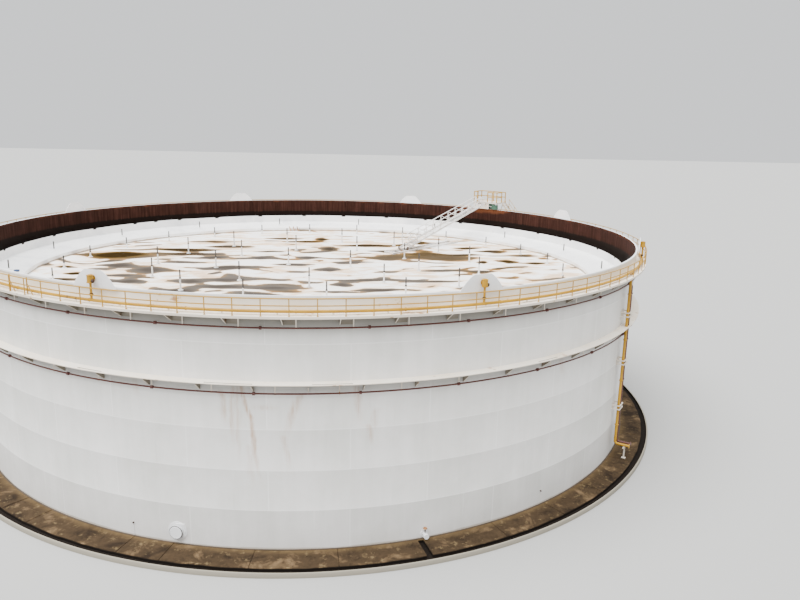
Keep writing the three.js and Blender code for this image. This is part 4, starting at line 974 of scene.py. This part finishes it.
# Deck: thin sheet that has buckled into crowns and hollows, with rain in the hollows.
# The square grid (u, v) is pressed into a circle: x = u √(1 - v²/2), y = v √(1 - u²/2)
deck = {
    "radius": 24.23, "z": 11.47, "under": 11.446, "grid": 301, "waveHeight": 0.05,
    "waterLine": 0.40,
    "pools": [  # x and y of the model, half width, half depth, depth, silt
        (-9.64, 2.84, 1.5, 1.0, 0.55, 1.0), (-11.1, -0.31, 0.5, 0.3, 0.5, 1.0),
        (-10.2, -1.8, 0.45, 0.32, 0.5, 1.0), (-10.5, -2.9, 0.9, 0.25, 0.45, 0.9),
        (-7.1, 4.4, 1.7, 0.5, 0.5, 0.9), (-6.7, 3.2, 1.4, 0.45, 0.45, 0.7), (2.4, 6.1, 2.0, 0.5, 0.5, 0.9),
        (5.6, 7.3, 0.8, 0.5, 0.5, 0.9), (9.2, 1.26, 0.55, 0.45, 0.5, 1.0), (10.4, 0.85, 0.5, 0.35, 0.5, 1.0),
        (7.9, 0.97, 0.3, 0.4, 0.5, 0.9), (-1.9, 8.6, 1.1, 0.4, 0.5, 0.9), (-0.6, 7.4, 1.3, 0.45, 0.5, 1.0),
        (0.62, 4.9, 0.45, 0.6, 0.5, 0.6), (7.9, 5.42, 0.7, 0.35, 0.5, 0.9), (9.1, 4.3, 0.75, 0.45, 0.5, 0.8),
        (10.3, 3.0, 0.6, 0.3, 0.45, 0.7), (-8.8, 0.06, 0.9, 0.6, 0.5, 0.15),
        (-7.3, -1.0, 0.75, 0.9, 0.45, 0.1), (-7.65, -3.5, 0.6, 0.4, 0.5, 0.1),
        (-5.3, -3.45, 0.9, 0.55, 0.45, 0.05), (-5.5, -5.1, 0.65, 0.3, 0.5, 0.1),
        (-5.6, 7.2, 1.5, 0.35, 0.45, 0.7), (-4.8, 5.4, 1.4, 0.35, 0.45, 0.6),
        (-5.04, 2.2, 0.9, 0.5, 0.5, 0.1), (-3.0, 1.95, 1.0, 0.45, 0.45, 0.0),
        (-4.0, -0.4, 1.8, 0.55, 0.5, 0.05), (-3.8, -3.05, 1.1, 0.42, 0.45, 0.0),
        (-3.8, -4.4, 1.3, 0.42, 0.5, 0.05), (-1.9, -4.7, 1.1, 0.36, 0.45, 0.0),
        (-2.1, -5.95, 0.85, 0.26, 0.5, 0.05), (0.16, 8.4, 0.35, 0.5, 0.5, 0.9),
        (-0.55, 2.26, 0.65, 0.5, 0.45, 0.0), (0.36, -0.86, 0.65, 0.42, 0.5, 0.05),
        (1.0, -4.1, 0.6, 0.46, 0.45, 0.1), (0.42, -5.4, 0.95, 0.22, 0.45, 0.1),
        (2.3, -5.05, 1.3, 0.3, 0.45, 0.15), (2.2, -3.1, 1.9, 0.25, 0.42, 0.1),
        (3.6, 2.3, 1.7, 1.0, 0.24, 0.6), (5.5, 3.4, 1.8, 1.2, 0.27, 0.85), (6.3, 2.2, 1.6, 0.9, 0.25, 0.7),
        (7.0, 4.1, 0.8, 0.5, -0.7, 0.5), (7.3, 3.3, 0.9, 0.25, 0.5, 0.9), (-8.2, -2.2, 0.8, 0.3, 0.4, 0.1),
        (-1.2, 0.4, 1.2, 0.25, 0.42, 0.0), (1.8, 0.9, 1.0, 0.22, 0.42, 0.05),
        (5.2, -1.2, 1.1, 0.25, 0.42, 0.1), (7.4, -1.4, 0.8, 0.22, 0.42, 0.3),
        (5.0, -3.6, 1.0, 0.22, 0.42, 0.2), (8.6, -0.6, 0.6, 0.2, 0.42, 0.5),
        (-6.4, 0.9, 0.9, 0.3, 0.42, 0.1), (-2.6, 4.0, 1.1, 0.25, 0.42, 0.3),
        (3.2, 4.3, 0.9, 0.25, 0.42, 0.3),
    ],
}


# The sheet sags in diamonds: field = the mean of the distances of p and q from whole numbers, where p and
# q run slantwise along x, bent by noise, plus smooth noise. Each known pool is a lens with pointed ends: its
# share w = 1.5 e^-(|x|^1.3 + |y|^1.3) - 0.15, kept from 0 to 1, draws the sheet towards a floor that lies
# the pool's depth under the water line
def deckField(x, y):
    warpX = 1.6 * unevenness(x + 80, y + 80, 2.4, 11) + 0.6 * unevenness(x + 80, y + 80, 0.8, 12)
    warpY = 1.2 * unevenness(x + 80, y + 80, 2.4, 13) + 0.5 * unevenness(x + 80, y + 80, 0.8, 14)
    u, v = x + warpX, y + warpY
    p, q = v / 1.15 + u / 2.9, v / 1.35 - u / 2.5
    diamond = np.abs(p - np.round(p)) + np.abs(q - np.round(q))
    field = (0.5 * diamond + 0.55 * unevenness(u + 90, 2.2 * v + 90, 1.6, 22)
             + 0.1 * unevenness(u + 90, v + 90, 0.5, 23))
    field = field - 0.01
    silt = np.clip(3 * (unevenness(x + 70, y + 70, 3.0, 31) - 0.62 + 0.3 * np.clip(y / 4, 0, 1)), 0, 1)
    for poolX, poolY, halfX, halfY, depth, brown in deck["pools"]:
        acrossX = np.abs(x + 0.3 * warpX - 0.33 - poolX) / halfX
        acrossY = np.abs(y + 0.3 * warpY - 0.26 - poolY) / halfY
        share = np.clip(1.5 * np.exp(-acrossX ** 1.3 - acrossY ** 1.3) - 0.15, 0, 1)
        field = field + (deck["waterLine"] - depth - field) * share
        silt = silt + (brown - silt) * np.clip(1.6 * share, 0, 1)
    return field, silt

# The grid's height follows field: level where rain stands, rising above the water line, flat at the rim;
# a wall goes down from its edge and a flat sheet closes it below
def deckShape():
    d = deck
    count, radius = d["grid"], d["radius"] * modelScale
    line = np.linspace(-1, 1, count)
    u, v = np.meshgrid(line, line, indexing="ij")
    x, y = radius * u * np.sqrt(1 - v ** 2 / 2), radius * v * np.sqrt(1 - u ** 2 / 2)
    field, silt = deckField(x, y)
    hollow = d["waterLine"] - field
    rim = np.clip((1 - np.hypot(x, y) / radius) * 12, 0, 1)
    wave = np.where(hollow > 0, 0.0, -hollow * 2.2) * rim
    top = np.stack([x, y, d["z"] * modelScale + lift + d["waveHeight"] * modelScale * (wave - 0.25)], axis=-1)
    border = gridBorder(count, count)
    flat = top.reshape(-1, 3)
    lower = flat[border] * [1, 1, 0] + [0, 0, d["under"] * modelScale + lift - 0.02]
    below = count * count + np.arange(len(border))
    wall = np.stack([np.roll(border, -1), border, below, np.roll(below, -1)], axis=-1)
    groups = [(gridFaces(count, count), 0), (wall[:, ::-1], 0), (below[None], 0)]
    hollow, silt = (np.concatenate([values.ravel(), np.zeros(len(border))]) for values in (hollow, silt))
    return (np.concatenate([flat, lower]), groups), hollow, silt


deckMesh, hollow, silt = deckShape()
deckPiece = makePiece("roofDeck", deckMesh, [deckPaint], "floating_roof", ["roof_deck"])
for name, values in (("hollow", hollow), ("silt", silt)):
    deckPiece.data.attributes.new(name, "FLOAT", "POINT").data.foreach_set("value", values.astype(np.float32))

# Legs: a painted sleeve welded to the deck, its collar and gussets, and the steel pin that stands out of it
ladderAngle = 44.3
legs = {
    "rings": [(2.9, 2, -13, "tall"), (9.2, 9, -15, "tall"), (14.6, 15, -16, "tall"), (22.0, 24, 3, "short")],
    "tall": {"sleeve": 0.95, "pin": 1.6}, "short": {"sleeve": 0.5, "pin": 1.1},
    "sleeveRadius": 0.062, "pinRadius": 0.055, "capRadius": 0.085, "collar": 0.2, "trackClearance": 1.2,
    "gussetFoot": 0.15, "gussetHead": 0.3, "gussetZ": (0.03, 0.2), "gussetHalfPlate": 0.008,
}


# Rings of evenly spaced legs, without those that would stand in the ladder's track
def legPlaces(kind):
    spots = []
    for radius, count, phase, ringKind in legs["rings"]:
        angle = evenly(phase, count)
        offTrack = np.abs(np.sin(np.radians(angle - ladderAngle))) * radius
        ahead = np.cos(np.radians(angle - ladderAngle)) > 0
        keep = ~(ahead & (offTrack < legs["trackClearance"])) & (ringKind == kind)
        spots += [(radius, a) for a in angle[keep]]
    return np.array(spots).T


sleeves, pins = [], []
for kind in ("tall", "short"):
    spot, level = legPlaces(kind), deck["z"]
    top, pin = level + legs[kind]["sleeve"], level + legs[kind]["pin"]
    sleeves.append(upright(*spot, level - 0.02, top, legs["sleeveRadius"], 10))
    sleeves.append(upright(*spot, level - 0.02, level + 0.04, legs["collar"], 12))
    foot, head = (polar(*spot, level + rise) for rise in legs["gussetZ"])
    for turn in (0, 90):
        way = radialFrame(turn)[0] * legs["gussetFoot"] * modelScale
        narrow = way * legs["gussetHead"]
        outline = np.stack([foot - way, foot + way, head + narrow, head - narrow], axis=1)
        thick = radialFrame(turn + 90)[0] * legs["gussetHalfPlate"] * modelScale
        sleeves.append(prisms(outline - thick, outline + thick))
    pins.append(upright(*spot, top - 0.1, pin, legs["pinRadius"]))
    pins.append(upright(*spot, top - 0.03, top + 0.05, legs["capRadius"]))
makePiece("deckLegSleeves", joinShapes(*sleeves), [ladderPaint], "floating_roof")
makePiece("deckLegPins", joinShapes(*pins), [pinSteel], "floating_roof")
print("deck: done")

# Pontoon: a sloping ring box with a low inner wall, seams over its bulkheads, and its own legs
pontoon = {"inner": 24.24, "outer": 27.12, "innerTop": 11.85, "outerTop": 12.4, "bottom": 11.1,
           "bulkheads": 30, "bulkheadPhase": 4.2, "legRadius": 25.4, "legs": 16, "legPhase": 11.2,
           "legReach": 1.8, "sleeve": 0.12, "pin": 0.8}


# Height of the sloping top: a straight line from the inner to the outer edge
def pontoonTop(radius):
    p = pontoon
    return p["innerTop"] + (p["outerTop"] - p["innerTop"]) * (radius - p["inner"]) / (p["outer"] - p["inner"])


legAngle = evenly(pontoon["legPhase"], pontoon["legs"])
legSpot = pontoonTop(pontoon["legRadius"])


# The box's profile revolved, flat bars up its slope for the seams, upright bars for the legs
def pontoonShape():
    p = pontoon
    inner, outer, low, high, stand = p["inner"], p["outer"], p["innerTop"], p["outerTop"], p["legRadius"]
    body = revolve([inner, outer, outer, outer - 0.02, inner + 0.02, inner],
                   [p["bottom"], p["bottom"], high - 0.02, high, low + 0.01, low - 0.01], round360)
    angle = evenly(p["bulkheadPhase"], p["bulkheads"])
    seamEnds = (polar(radius, angle, pontoonTop(radius) + 0.004) for radius in (inner + 0.03, outer - 0.5))
    return joinShapes(body, rods(*seamEnds, 0.05, 4, 0.01),
                      upright(stand, legAngle, deck["z"] - p["legReach"], legSpot + p["sleeve"],
                              legs["sleeveRadius"], 10),
                      upright(stand, legAngle, legSpot - 0.02, legSpot + 0.03, legs["collar"], 12))


makePiece("roofPontoon", pontoonShape(), [pontoonPaint], "floating_roof",
          numbered("roof_pontoon", 4))
makePiece("pontoonLegPins", upright(pontoon["legRadius"], legAngle, legSpot + pontoon["sleeve"] - 0.05,
                                    legSpot + pontoon["pin"], legs["pinRadius"]),
          [pinSteel], "floating_roof")

# Rim seal: a curtain from the pontoon's edge that stops just short of the shell, its profile revolved
sealProfile = {"radius": [27.12, 27.2, 27.355, 27.355, 27.3, 27.12],
               "height": [12.2, 12.24, 12.36, 12.39, 12.4, 12.36]}
makePiece("rimSeal", revolve(sealProfile["radius"], sealProfile["height"], round360), [sealRubber],
          "floating_roof")

# Small rusty angle brackets where the deck meets the pontoon: from each foot one bar leans either way
brackets = {"angles": np.array([96.2, 97.3, 98.4]), "radius": 24.05, "leans": ((0.35, 0.55), (-0.5, 0.4))}
bracketFoot = polar(brackets["radius"], brackets["angles"], deck["z"])
makePiece("rustyBrackets", joinShapes(*(
    rods(bracketFoot, polar(brackets["radius"], brackets["angles"] + lean, deck["z"] + height), 0.05, 4,
         0.012)
    for lean, height in brackets["leans"])), [rustEnamel], "floating_roof")

# Foam dam: upright sheet in panels with a foot flange, notched where two panels meet, on sloping stays
dam = {"radius": 26.7, "top": 13.1, "thickness": 0.02, "notchDepth": 0.11, "notchWidth": 0.9,
       "footFlange": 0.12, "stayReach": 0.42, "stayTop": 12.85, "stayStep": 4.0, "sag": 0.05,
       "notches": [174.9, 163.9, 151.5, 140, 134.3, 127.8, 117.7, 106, 94.1, 83.3, 71.3, 60.2, 49.9, 37,
                   25.2, 13.3, 1.2, -9.3, -21.3, -33.3, -45.3, -57.3, -69.3, -81.3, -93.3, -105.3, -117.3,
                   -129.3, -141.3, -153.3, -165.3, -177.3]}


# An L-shaped profile revolved; its top is lowered by noise and by each notch
def damShape():
    d = dam
    angles, inNotch = notchAngles(1.0, d["notches"], d["notchWidth"] / 2, 0.1)
    sag = d["sag"] * (unevenness(angles * 0.5 + 200, 0 * angles, 5.0, 41) - 0.5)
    top = d["top"] + sag - d["notchDepth"] * inNotch
    outer, inner, toe = d["radius"], d["radius"] - d["thickness"], d["radius"] - d["footFlange"]
    foot, flange = pontoonTop(outer) + 0.002, pontoonTop(toe) + 0.02
    radius = np.ones((len(angles), 1)) * [toe, outer, outer, inner, inner, toe]
    height = np.ones((len(angles), 1)) * [foot - 0.02, foot, 0, 0, flange + 0.02, flange]
    height[:, 2:4] = top[:, None]
    stay, reach = np.arange(-180, 180, d["stayStep"]), outer - d["stayReach"]
    return joinShapes(revolve(radius, height, angles), rods(
        polar(reach, stay, pontoonTop(reach)), polar(outer - 0.01, stay, d["stayTop"]), 0.022, 4, 0.006))


makePiece("foamDam", damShape(), [pontoonPaint], "floating_roof", numbered("foam_dam", 4))
print("pontoon and dam: done")

# Ladder track: two channels on cross ties over the deck
track = {"from": 9.9, "to": 21.5, "gauge": 1.1, "height": 0.16, "width": 0.12, "ties": 14}


# Points by the ladder: radius times the outward vector at its azimuth plus side times the sideways one
def ladderPlace(radius, side, z):
    outward, tangent = radialFrame(ladderAngle)
    radius, side, z = np.broadcast_arrays(*(np.asarray(value, float) for value in (radius, side, z)))
    points = (radius[..., None] * outward + side[..., None] * tangent) * modelScale
    points[..., 2] = z * modelScale + lift
    return points


# Flat bars along the ladder for each channel's flanges and web, and bars across for ties and the stop
def trackShape():
    t = track
    start, end, half, base, wide = t["from"], t["to"], t["gauge"] / 2, deck["z"], t["width"] / 2
    top = base + t["height"]
    shapes = []
    for side in (-half, half):
        for level, width, depth in ((top - 0.02, wide, 0.02), (top - 0.09, 0.015, 0.07),
                                    (base + 0.01, wide, 0.01)):
            shapes.append(rods(ladderPlace(start, side, level), ladderPlace(end, side, level), width, 4,
                               depth))
    for at, level, width, depth in ((np.linspace(start + 0.1, end - 0.1, t["ties"]), base + 0.04, 0.04, 0.03),
                                    (start + 0.03, top + 0.04, 0.03, 0.04)):
        shapes.append(rods(ladderPlace(at, -half, level), ladderPlace(at, half, level), width, 4, depth))
    return joinShapes(*shapes)


makePiece("ladderTrack", trackShape(), [ladderPaint], "floating_roof", ["ladder_track"])

# Rolling ladder: two rails with level treads, a handrail with posts and braces on each side,
# an axle with two wheels at the foot and a pin at the head
ladder = {"pivot": (27.0, 15.55), "foot": 12.3, "wheelGap": 0.0006, "width": 0.9, "railDepth": 0.09,
          "railWidth": 0.035, "hand": 1.02, "knee": 0.55, "bays": 10, "treads": 46, "wheel": 0.18,
          "pin": 0.034}


# Bars between points given by the distance down the ladder, the height square to it and the side
def ladderShape():
    l = ladder
    footZ = deck["z"] + track["height"] + l["wheel"] + l["wheelGap"]
    start, end = np.array(l["pivot"]), np.array([l["foot"], footZ])
    length = np.linalg.norm(end - start)
    along = (end - start) / length
    up = np.array([along[1], -along[0]])
    half, wheelSide = l["width"] / 2, track["gauge"] / 2
    shapes = []

    def place(distance, height, side):
        distance, height = np.asarray(distance, float), np.asarray(height, float)
        return ladderPlace(start[0] + along[0] * distance + up[0] * height, side,
                           start[1] + along[1] * distance + up[1] * height)

    def bar(low, high, width, sides=8, depth=None, paint=0):
        shapes.append(rods(place(*low), place(*high), width, sides, depth, paint))

    first, last = 0.5, length - 0.5
    at = np.linspace(first, last, l["bays"] + 1)
    for side in (-half, half):
        bar((-0.09, 0, side), (length + 0.09, 0, side), l["railWidth"], 4, l["railDepth"])
        for height, width in ((l["hand"], 0.038), (l["knee"], 0.024)):
            bar((first - 0.05, height, side), (last + 0.05, height, side), width)
        bar((at, 0.0, side), (at, l["hand"], side), 0.035, 4, 0.025)
        bar((at[:-1], 0.05, side), (at[1:], l["hand"], side), 0.024, 4, 0.02)
    centre = place(np.linspace(0.35, length - 0.35, l["treads"]), 0.02, 0)
    reach = radialFrame(ladderAngle)[1] * (half - 0.04) * modelScale
    shapes.append(rods(centre - reach, centre + reach, 0.09, 4, 0.012))
    bar((length, 0, -wheelSide - 0.07), (length, 0, wheelSide + 0.07), 0.03, 10)
    for side in (-wheelSide, wheelSide):
        for thick, size, sides in ((0.035, l["wheel"], 24), (0.045, 0.07, 12)):
            bar((length, 0, side - thick), (length, 0, side + thick), size, sides, paint=1)
    bar((0, 0, -half - 0.17), (0, 0, half + 0.17), l["pin"], 12, paint=1)
    return joinShapes(*shapes)


makePiece("rollingLadder", ladderShape(), [ladderPaint, darkSteel], "ladder",
          ["rolling_ladder"])
print("ladder: done")

# Gauger's platform: grating on brackets over the rim, the ladder's lugs, a skirt plate behind the
# ladder's head and a small green box under the grating
platform = {"from": 39.9, "to": 46.9, "inner": 27.15, "outer": 29.05, "top": 15.8, "plate": 0.04,
            "rail": 1.16, "mid": 0.6, "tube": 0.055, "opening": 1.5, "inset": 0.08, "stairSide": 28.22,
            "skirt": (42.35, 46.8, 14.98), "skirtRadius": (27.2, 27.22), "box": (39.95, 41.4, 14.99, 15.5),
            "boxRadius": (27.2, 27.5), "postRadius": 27.66, "braceFoot": 28.1, "lugSide": 0.57,
            "lugHalf": 0.025}


# Slabs between two radii, two heights and two azimuths, with bars under them
def platformShape():
    p = platform
    angles = np.linspace(p["from"], p["to"], 15)
    inner, outer, top, under = p["inner"], p["outer"], p["top"], p["top"] - p["plate"]

    def slab(radii, low, high, around):
        near, far = radii
        return revolve([near, far, far, near], [low, low, high, high], around, closed=False)

    skirtFrom, skirtTo, skirtFoot = p["skirt"]
    boxFrom, boxTo, boxFoot, boxTop = p["box"]
    shapes = [slab((inner, outer), under, top, angles),
              slab((outer - 0.02, outer), top - 0.14, top + 0.12, angles),
              slab((inner, inner + 0.02), top - 0.14, top + 0.01, angles),
              slab(p["skirtRadius"], skirtFoot, under - 0.1, np.linspace(skirtFrom, skirtTo, 8)),
              repaint(slab(p["boxRadius"], boxFoot, boxTop, np.linspace(boxFrom, boxTo, 3)), 1)]
    beam, walkway = under - 0.05, rail["foot"]
    for angle in (p["from"] + 0.6, p["to"] - 0.6):
        shapes += [spoke(inner + 0.05, outer - 0.05, angle, beam, 0.04, 4, 0.05),
                   upright(p["postRadius"], angle, walkway, under, 0.055, 4),
                   rods(polar(p["braceFoot"], angle, walkway + 0.02), polar(outer - 0.15, angle, beam), 0.03,
                        4)]
    pivot, pivotZ = ladder["pivot"]
    thin = p["lugHalf"]
    for side in (-p["lugSide"], p["lugSide"]):
        for start, end, width, sides, depth in (
                ((inner + 0.3, side, pivotZ), (pivot, side, pivotZ), thin, 4, 0.11),
                ((pivot, side - thin, pivotZ), (pivot, side + thin, pivotZ), 0.115, 16, None),
                ((inner + 0.2, side, pivotZ), (inner + 0.2, side, under), thin, 4, 0.06)):
            shapes.append(rods(ladderPlace(*start), ladderPlace(*end), width, sides, depth))
    return joinShapes(*shapes)


makePiece("gaugerPlatform", platformShape(), [girderPaint, greenEnamel], "tank",
          ["gauger_platform"])


# Rails round the platform, open over the ladder and where the stair arrives: upright bars at a run of
# points, and bars from each point to the next
def platformRailShape():
    p = platform
    low, high = p["from"] + 0.15, p["to"] - 0.15
    inner, outer = p["inner"] + p["inset"], p["outer"] - p["inset"]
    gapFrom, gapTo = ladderAngle - p["opening"], ladderAngle + p["opening"]
    left = [(inner, gapFrom), (inner, (low + ladderAngle - p["opening"]) / 2), (inner, low),
            (p["stairSide"], low)]
    around = [(outer, low), (outer, (low + high) / 2), (outer, high), ((inner + outer) / 2, high),
              (inner, high), (inner, gapTo)]
    shapes = []
    for run in (left, around):
        radius, angle = np.array(run).T
        shapes.append(upright(radius, angle, p["top"], p["top"] + p["rail"], p["tube"]))
        for height in (p["mid"], p["rail"]):
            line = polar(radius, angle, p["top"] + height)
            shapes.append(rods(line[:-1], line[1:], p["tube"] - 0.003))
    return joinShapes(*shapes)


makePiece("platformRail", platformRailShape(), [ochreEnamel], "tank",
          ["platform_rail_inner", "platform_rail_outer"])

# Cabinet on the walkway under the platform: doors, a projecting lid, and legs astride the foam main
cabinet = {"angle": 42.5, "radius": 27.83, "width": 1.04, "depth": 0.38, "bottom": 14.4, "top": 15.55,
           "leg": 0.03, "lid": 0.05, "lidEdge": 0.04, "band": (15.2, 15.34), "door": 0.012}


# Upright blocks: corners at half the width sideways and half the depth outwards
def cabinetShape():
    c = cabinet
    outward, tangent = radialFrame(c["angle"])
    corner = np.array([[-1, -1], [1, -1], [1, 1], [-1, 1]])

    def block(width, depth, low, high, paint=0, sideways=0.0, forward=0.0):
        side, front = corner[:, :1] * width / 2 + sideways, corner[:, 1:] * depth / 2 + forward
        offset = side * tangent + front * outward
        return prisms(*([polar(c["radius"], c["angle"], z) + offset * modelScale] for z in (low, high)),
                      paint)

    width, depth, leg = c["width"] - c["lidEdge"], c["depth"] - c["lidEdge"], c["leg"]
    shapes = [block(width, depth, c["bottom"], c["top"] - c["lid"]),
              block(c["width"], c["depth"], c["top"] - c["lid"], c["top"]),
              block(width + 0.01, depth + 0.01, *c["band"], paint=1)]
    for side in (-1, 1):
        shapes.append(block(width / 2 - 0.05, c["door"], c["bottom"] + 0.06, c["band"][0] - 0.06, 0,
                            side * width / 4, depth / 2 + 0.004))
        for front in (-1, 1):
            shapes.append(block(leg * 2, leg * 2, rail["foot"], c["bottom"] + 0.02, 0,
                                side * (width / 2 - leg), front * (depth / 2 - leg)))
    return joinShapes(*shapes)


makePiece("walkwayCabinet", cabinetShape(), [greenEnamel, boardPaint], "tank",
          ["walkway_cabinet"])
print("platform: done")

# Spiral stair: treads between two bent stringers, on brackets from the shell, with a rail outside
stair = {"inner": 28.32, "outer": 29.0, "steps": 77, "going": 0.2, "brackets": [2.6, 5.2, 7.8, 11.6],
         "rail": 1.0, "kneeRail": 0.5, "tread": 0.03, "stringer": 0.12, "stringerHalfPlate": 0.012,
         "postEvery": 4, "wall": 27.43}
stairStep = math.degrees(stair["going"] / ((stair["inner"] + stair["outer"]) / 2))
stairRise = platform["top"] / stair["steps"]
stairFoot = platform["from"] - 0.05 - stairStep * (stair["steps"] - 1)


# Tread i starts at the stair's first azimuth plus i steps and lies (i + 1) rises high; the stringers are
# flat outlines carried along the same helix
def stairShape():
    s = stair
    i = np.arange(s["steps"] - 1)
    angle, top = stairFoot + i * stairStep, (i + 1) * stairRise
    inner, outer, half, thin = s["inner"] + 0.03, s["outer"] - 0.03, s["stringer"], s["stringerHalfPlate"]
    back, front = -0.05, stairStep + 0.02
    low = np.stack([polar(radius, angle + turn, top - s["tread"]) for radius, turn in (
        (inner, back), (outer, back), (outer, front), (inner, front))], axis=1)
    shapes = [prisms(low, low + [0, 0, s["tread"] * modelScale])]
    line = np.linspace(0, s["steps"] - 1, 120)
    lineAngle, lineTop = stairFoot + line * stairStep, (line + 0.5) * stairRise
    for radius in (s["inner"], s["outer"]):
        path = polar(radius, lineAngle, np.maximum(lineTop - 0.04, half + 0.01))
        shapes.append(sweep(path, [[-thin, -half], [thin, -half], [thin, half], [-thin, half]]))
    for z in s["brackets"]:
        at = stairFoot + (z / stairRise + 0.5) * stairStep
        shapes.append(spoke(s["wall"], s["outer"], at, z - 0.14, 0.03, 4, 0.05))
        shapes.append(rods(polar(s["wall"], at, z - 0.9), polar(s["outer"] - 0.1, at, z - 0.18), 0.025, 4,
                           0.025))
    return joinShapes(*shapes)


makePiece("spiralStair", stairShape(), [girderPaint], "tank", ["spiral_stair"])


# Posts on every fourth tread and two tubes along the helix
def stairRailShape():
    s = stair
    i = np.arange(1, s["steps"] - 1, s["postEvery"])
    angle, top, radius = stairFoot + (i + 0.5) * stairStep, (i + 1) * stairRise, s["outer"] - 0.05
    line = np.linspace(1, i[-1], 90)
    tubes = [sweep(polar(radius, stairFoot + (line + 0.5) * stairStep, (line + 1) * stairRise + height),
                   circle(0.022, 8)) for height in (s["kneeRail"], s["rail"])]
    return joinShapes(upright(radius, angle, top, top + s["rail"], 0.024), *tubes)


makePiece("stairRail", stairRailShape(), [yellowEnamel], "tank", ["stair_handrail"])
print("stair: done")

# Two hydrant posts on the walkway, each with a sloping brace, and a capped vent on the pontoon
posts = {"angles": np.array([-126.0, -129.5]), "radius": 28.05, "foot": 14.03, "top": 15.02,
         "braceFrom": 14.62, "braceTo": 14.05, "braceTurn": 0.9}
braceRadius = posts["radius"] - 0.02
makePiece("bracedPosts", joinShapes(
    upright(posts["radius"], posts["angles"], posts["foot"], posts["top"], 0.036),
    rods(polar(braceRadius, posts["angles"], posts["braceFrom"]),
         polar(braceRadius, posts["angles"] + posts["braceTurn"], posts["braceTo"]), 0.028, 6)),
    [ochreEnamel], "tank")
vent = {"angle": -162.5, "radius": 24.47, "stem": 0.16, "cap": 0.21, "height": 0.5, "top": 0.62}
ventPlace, ventBase = (vent["radius"], vent["angle"]), float(pontoonTop(vent["radius"]))
ventNeck, ventTop = ventBase + vent["height"], ventBase + vent["top"]
makePiece("pontoonVent", joinShapes(upright(*ventPlace, ventBase - 0.02, ventNeck, vent["stem"], 16),
                                    upright(*ventPlace, ventNeck, ventTop, vent["cap"], 16, paint=1)),
          [pontoonPaint, blueEnamel], "floating_roof")
print("small fittings: done")

# Studio: a pale floor, a broad soft light from above and a pale surround
studio = {"floor": "#a2a2a0", "reach": 400.0, "sky": "#eceef0", "surround": 1.25,
          "strength": 9.5, "spread": 60, "tilt": (12, -16, 0)}
floorMaterial, floorShader = newMaterial("paleStudioFloor", roughness=0.9)[:2]
setSockets(floorShader, {"Base Color": studio["floor"]})
floorMesh = bpy.data.meshes.new("studioFloor")
floorMesh.from_pydata([(x * studio["reach"], y * studio["reach"], 0)
                       for x, y in ((-1, -1), (1, -1), (1, 1), (-1, 1))], [], [(0, 1, 2, 3)])
floorMesh.materials.append(floorMaterial)
studioFloor = bpy.data.objects.new("studioFloor", floorMesh)
sun = bpy.data.lights.new("softSky", "SUN")
sun.energy, sun.angle = studio["strength"], math.radians(studio["spread"])
softSky = bpy.data.objects.new("softSky", sun)
softSky.rotation_euler = [math.radians(a) for a in studio["tilt"]]
world = bpy.data.worlds.new("paleSurround")
world.use_nodes = True
setSockets(world.node_tree.nodes["Background"], {"Color": studio["sky"], "Strength": studio["surround"]})
bpy.context.scene.world = world

# Camera where the photographer stood: pitch is down, yaw to the right, roll clockwise
view = {"place": (0.0, -31.750, 11.794), "pitch": 13.26, "yaw": 6.77, "roll": 1.30, "lens": 31.36,
        "sensor": 36.0, "farthest": 1000.0}


# Columns of the matrix: right, up and backward, the first two turned by the roll, then the place
def cameraMatrix():
    pitch, yaw, roll = (math.radians(view[key]) for key in ("pitch", "yaw", "roll"))
    forward = np.array([math.sin(yaw) * math.cos(pitch), math.cos(yaw) * math.cos(pitch), -math.sin(pitch)])
    right = np.array([math.cos(yaw), -math.sin(yaw), 0])
    up = np.cross(right, forward)
    rolledRight = right * math.cos(roll) + up * math.sin(roll)
    rolledUp = up * math.cos(roll) - right * math.sin(roll)
    matrix = Matrix.Identity(4)
    for column, axis in enumerate((rolledRight, rolledUp, -forward, view["place"])):
        for row in range(3):
            matrix[row][column] = float(axis[row])
    return matrix


cameraData = bpy.data.cameras.new("photoCamera")
cameraData.lens, cameraData.sensor_width, cameraData.clip_end = view["lens"], view["sensor"], view["farthest"]
camera = bpy.data.objects.new("photoCamera", cameraData)
for studioObject in (studioFloor, softSky, camera):
    bpy.context.scene.collection.objects.link(studioObject)
camera.matrix_world = cameraMatrix()
bpy.context.scene.camera = camera
print("studio and camera: done")
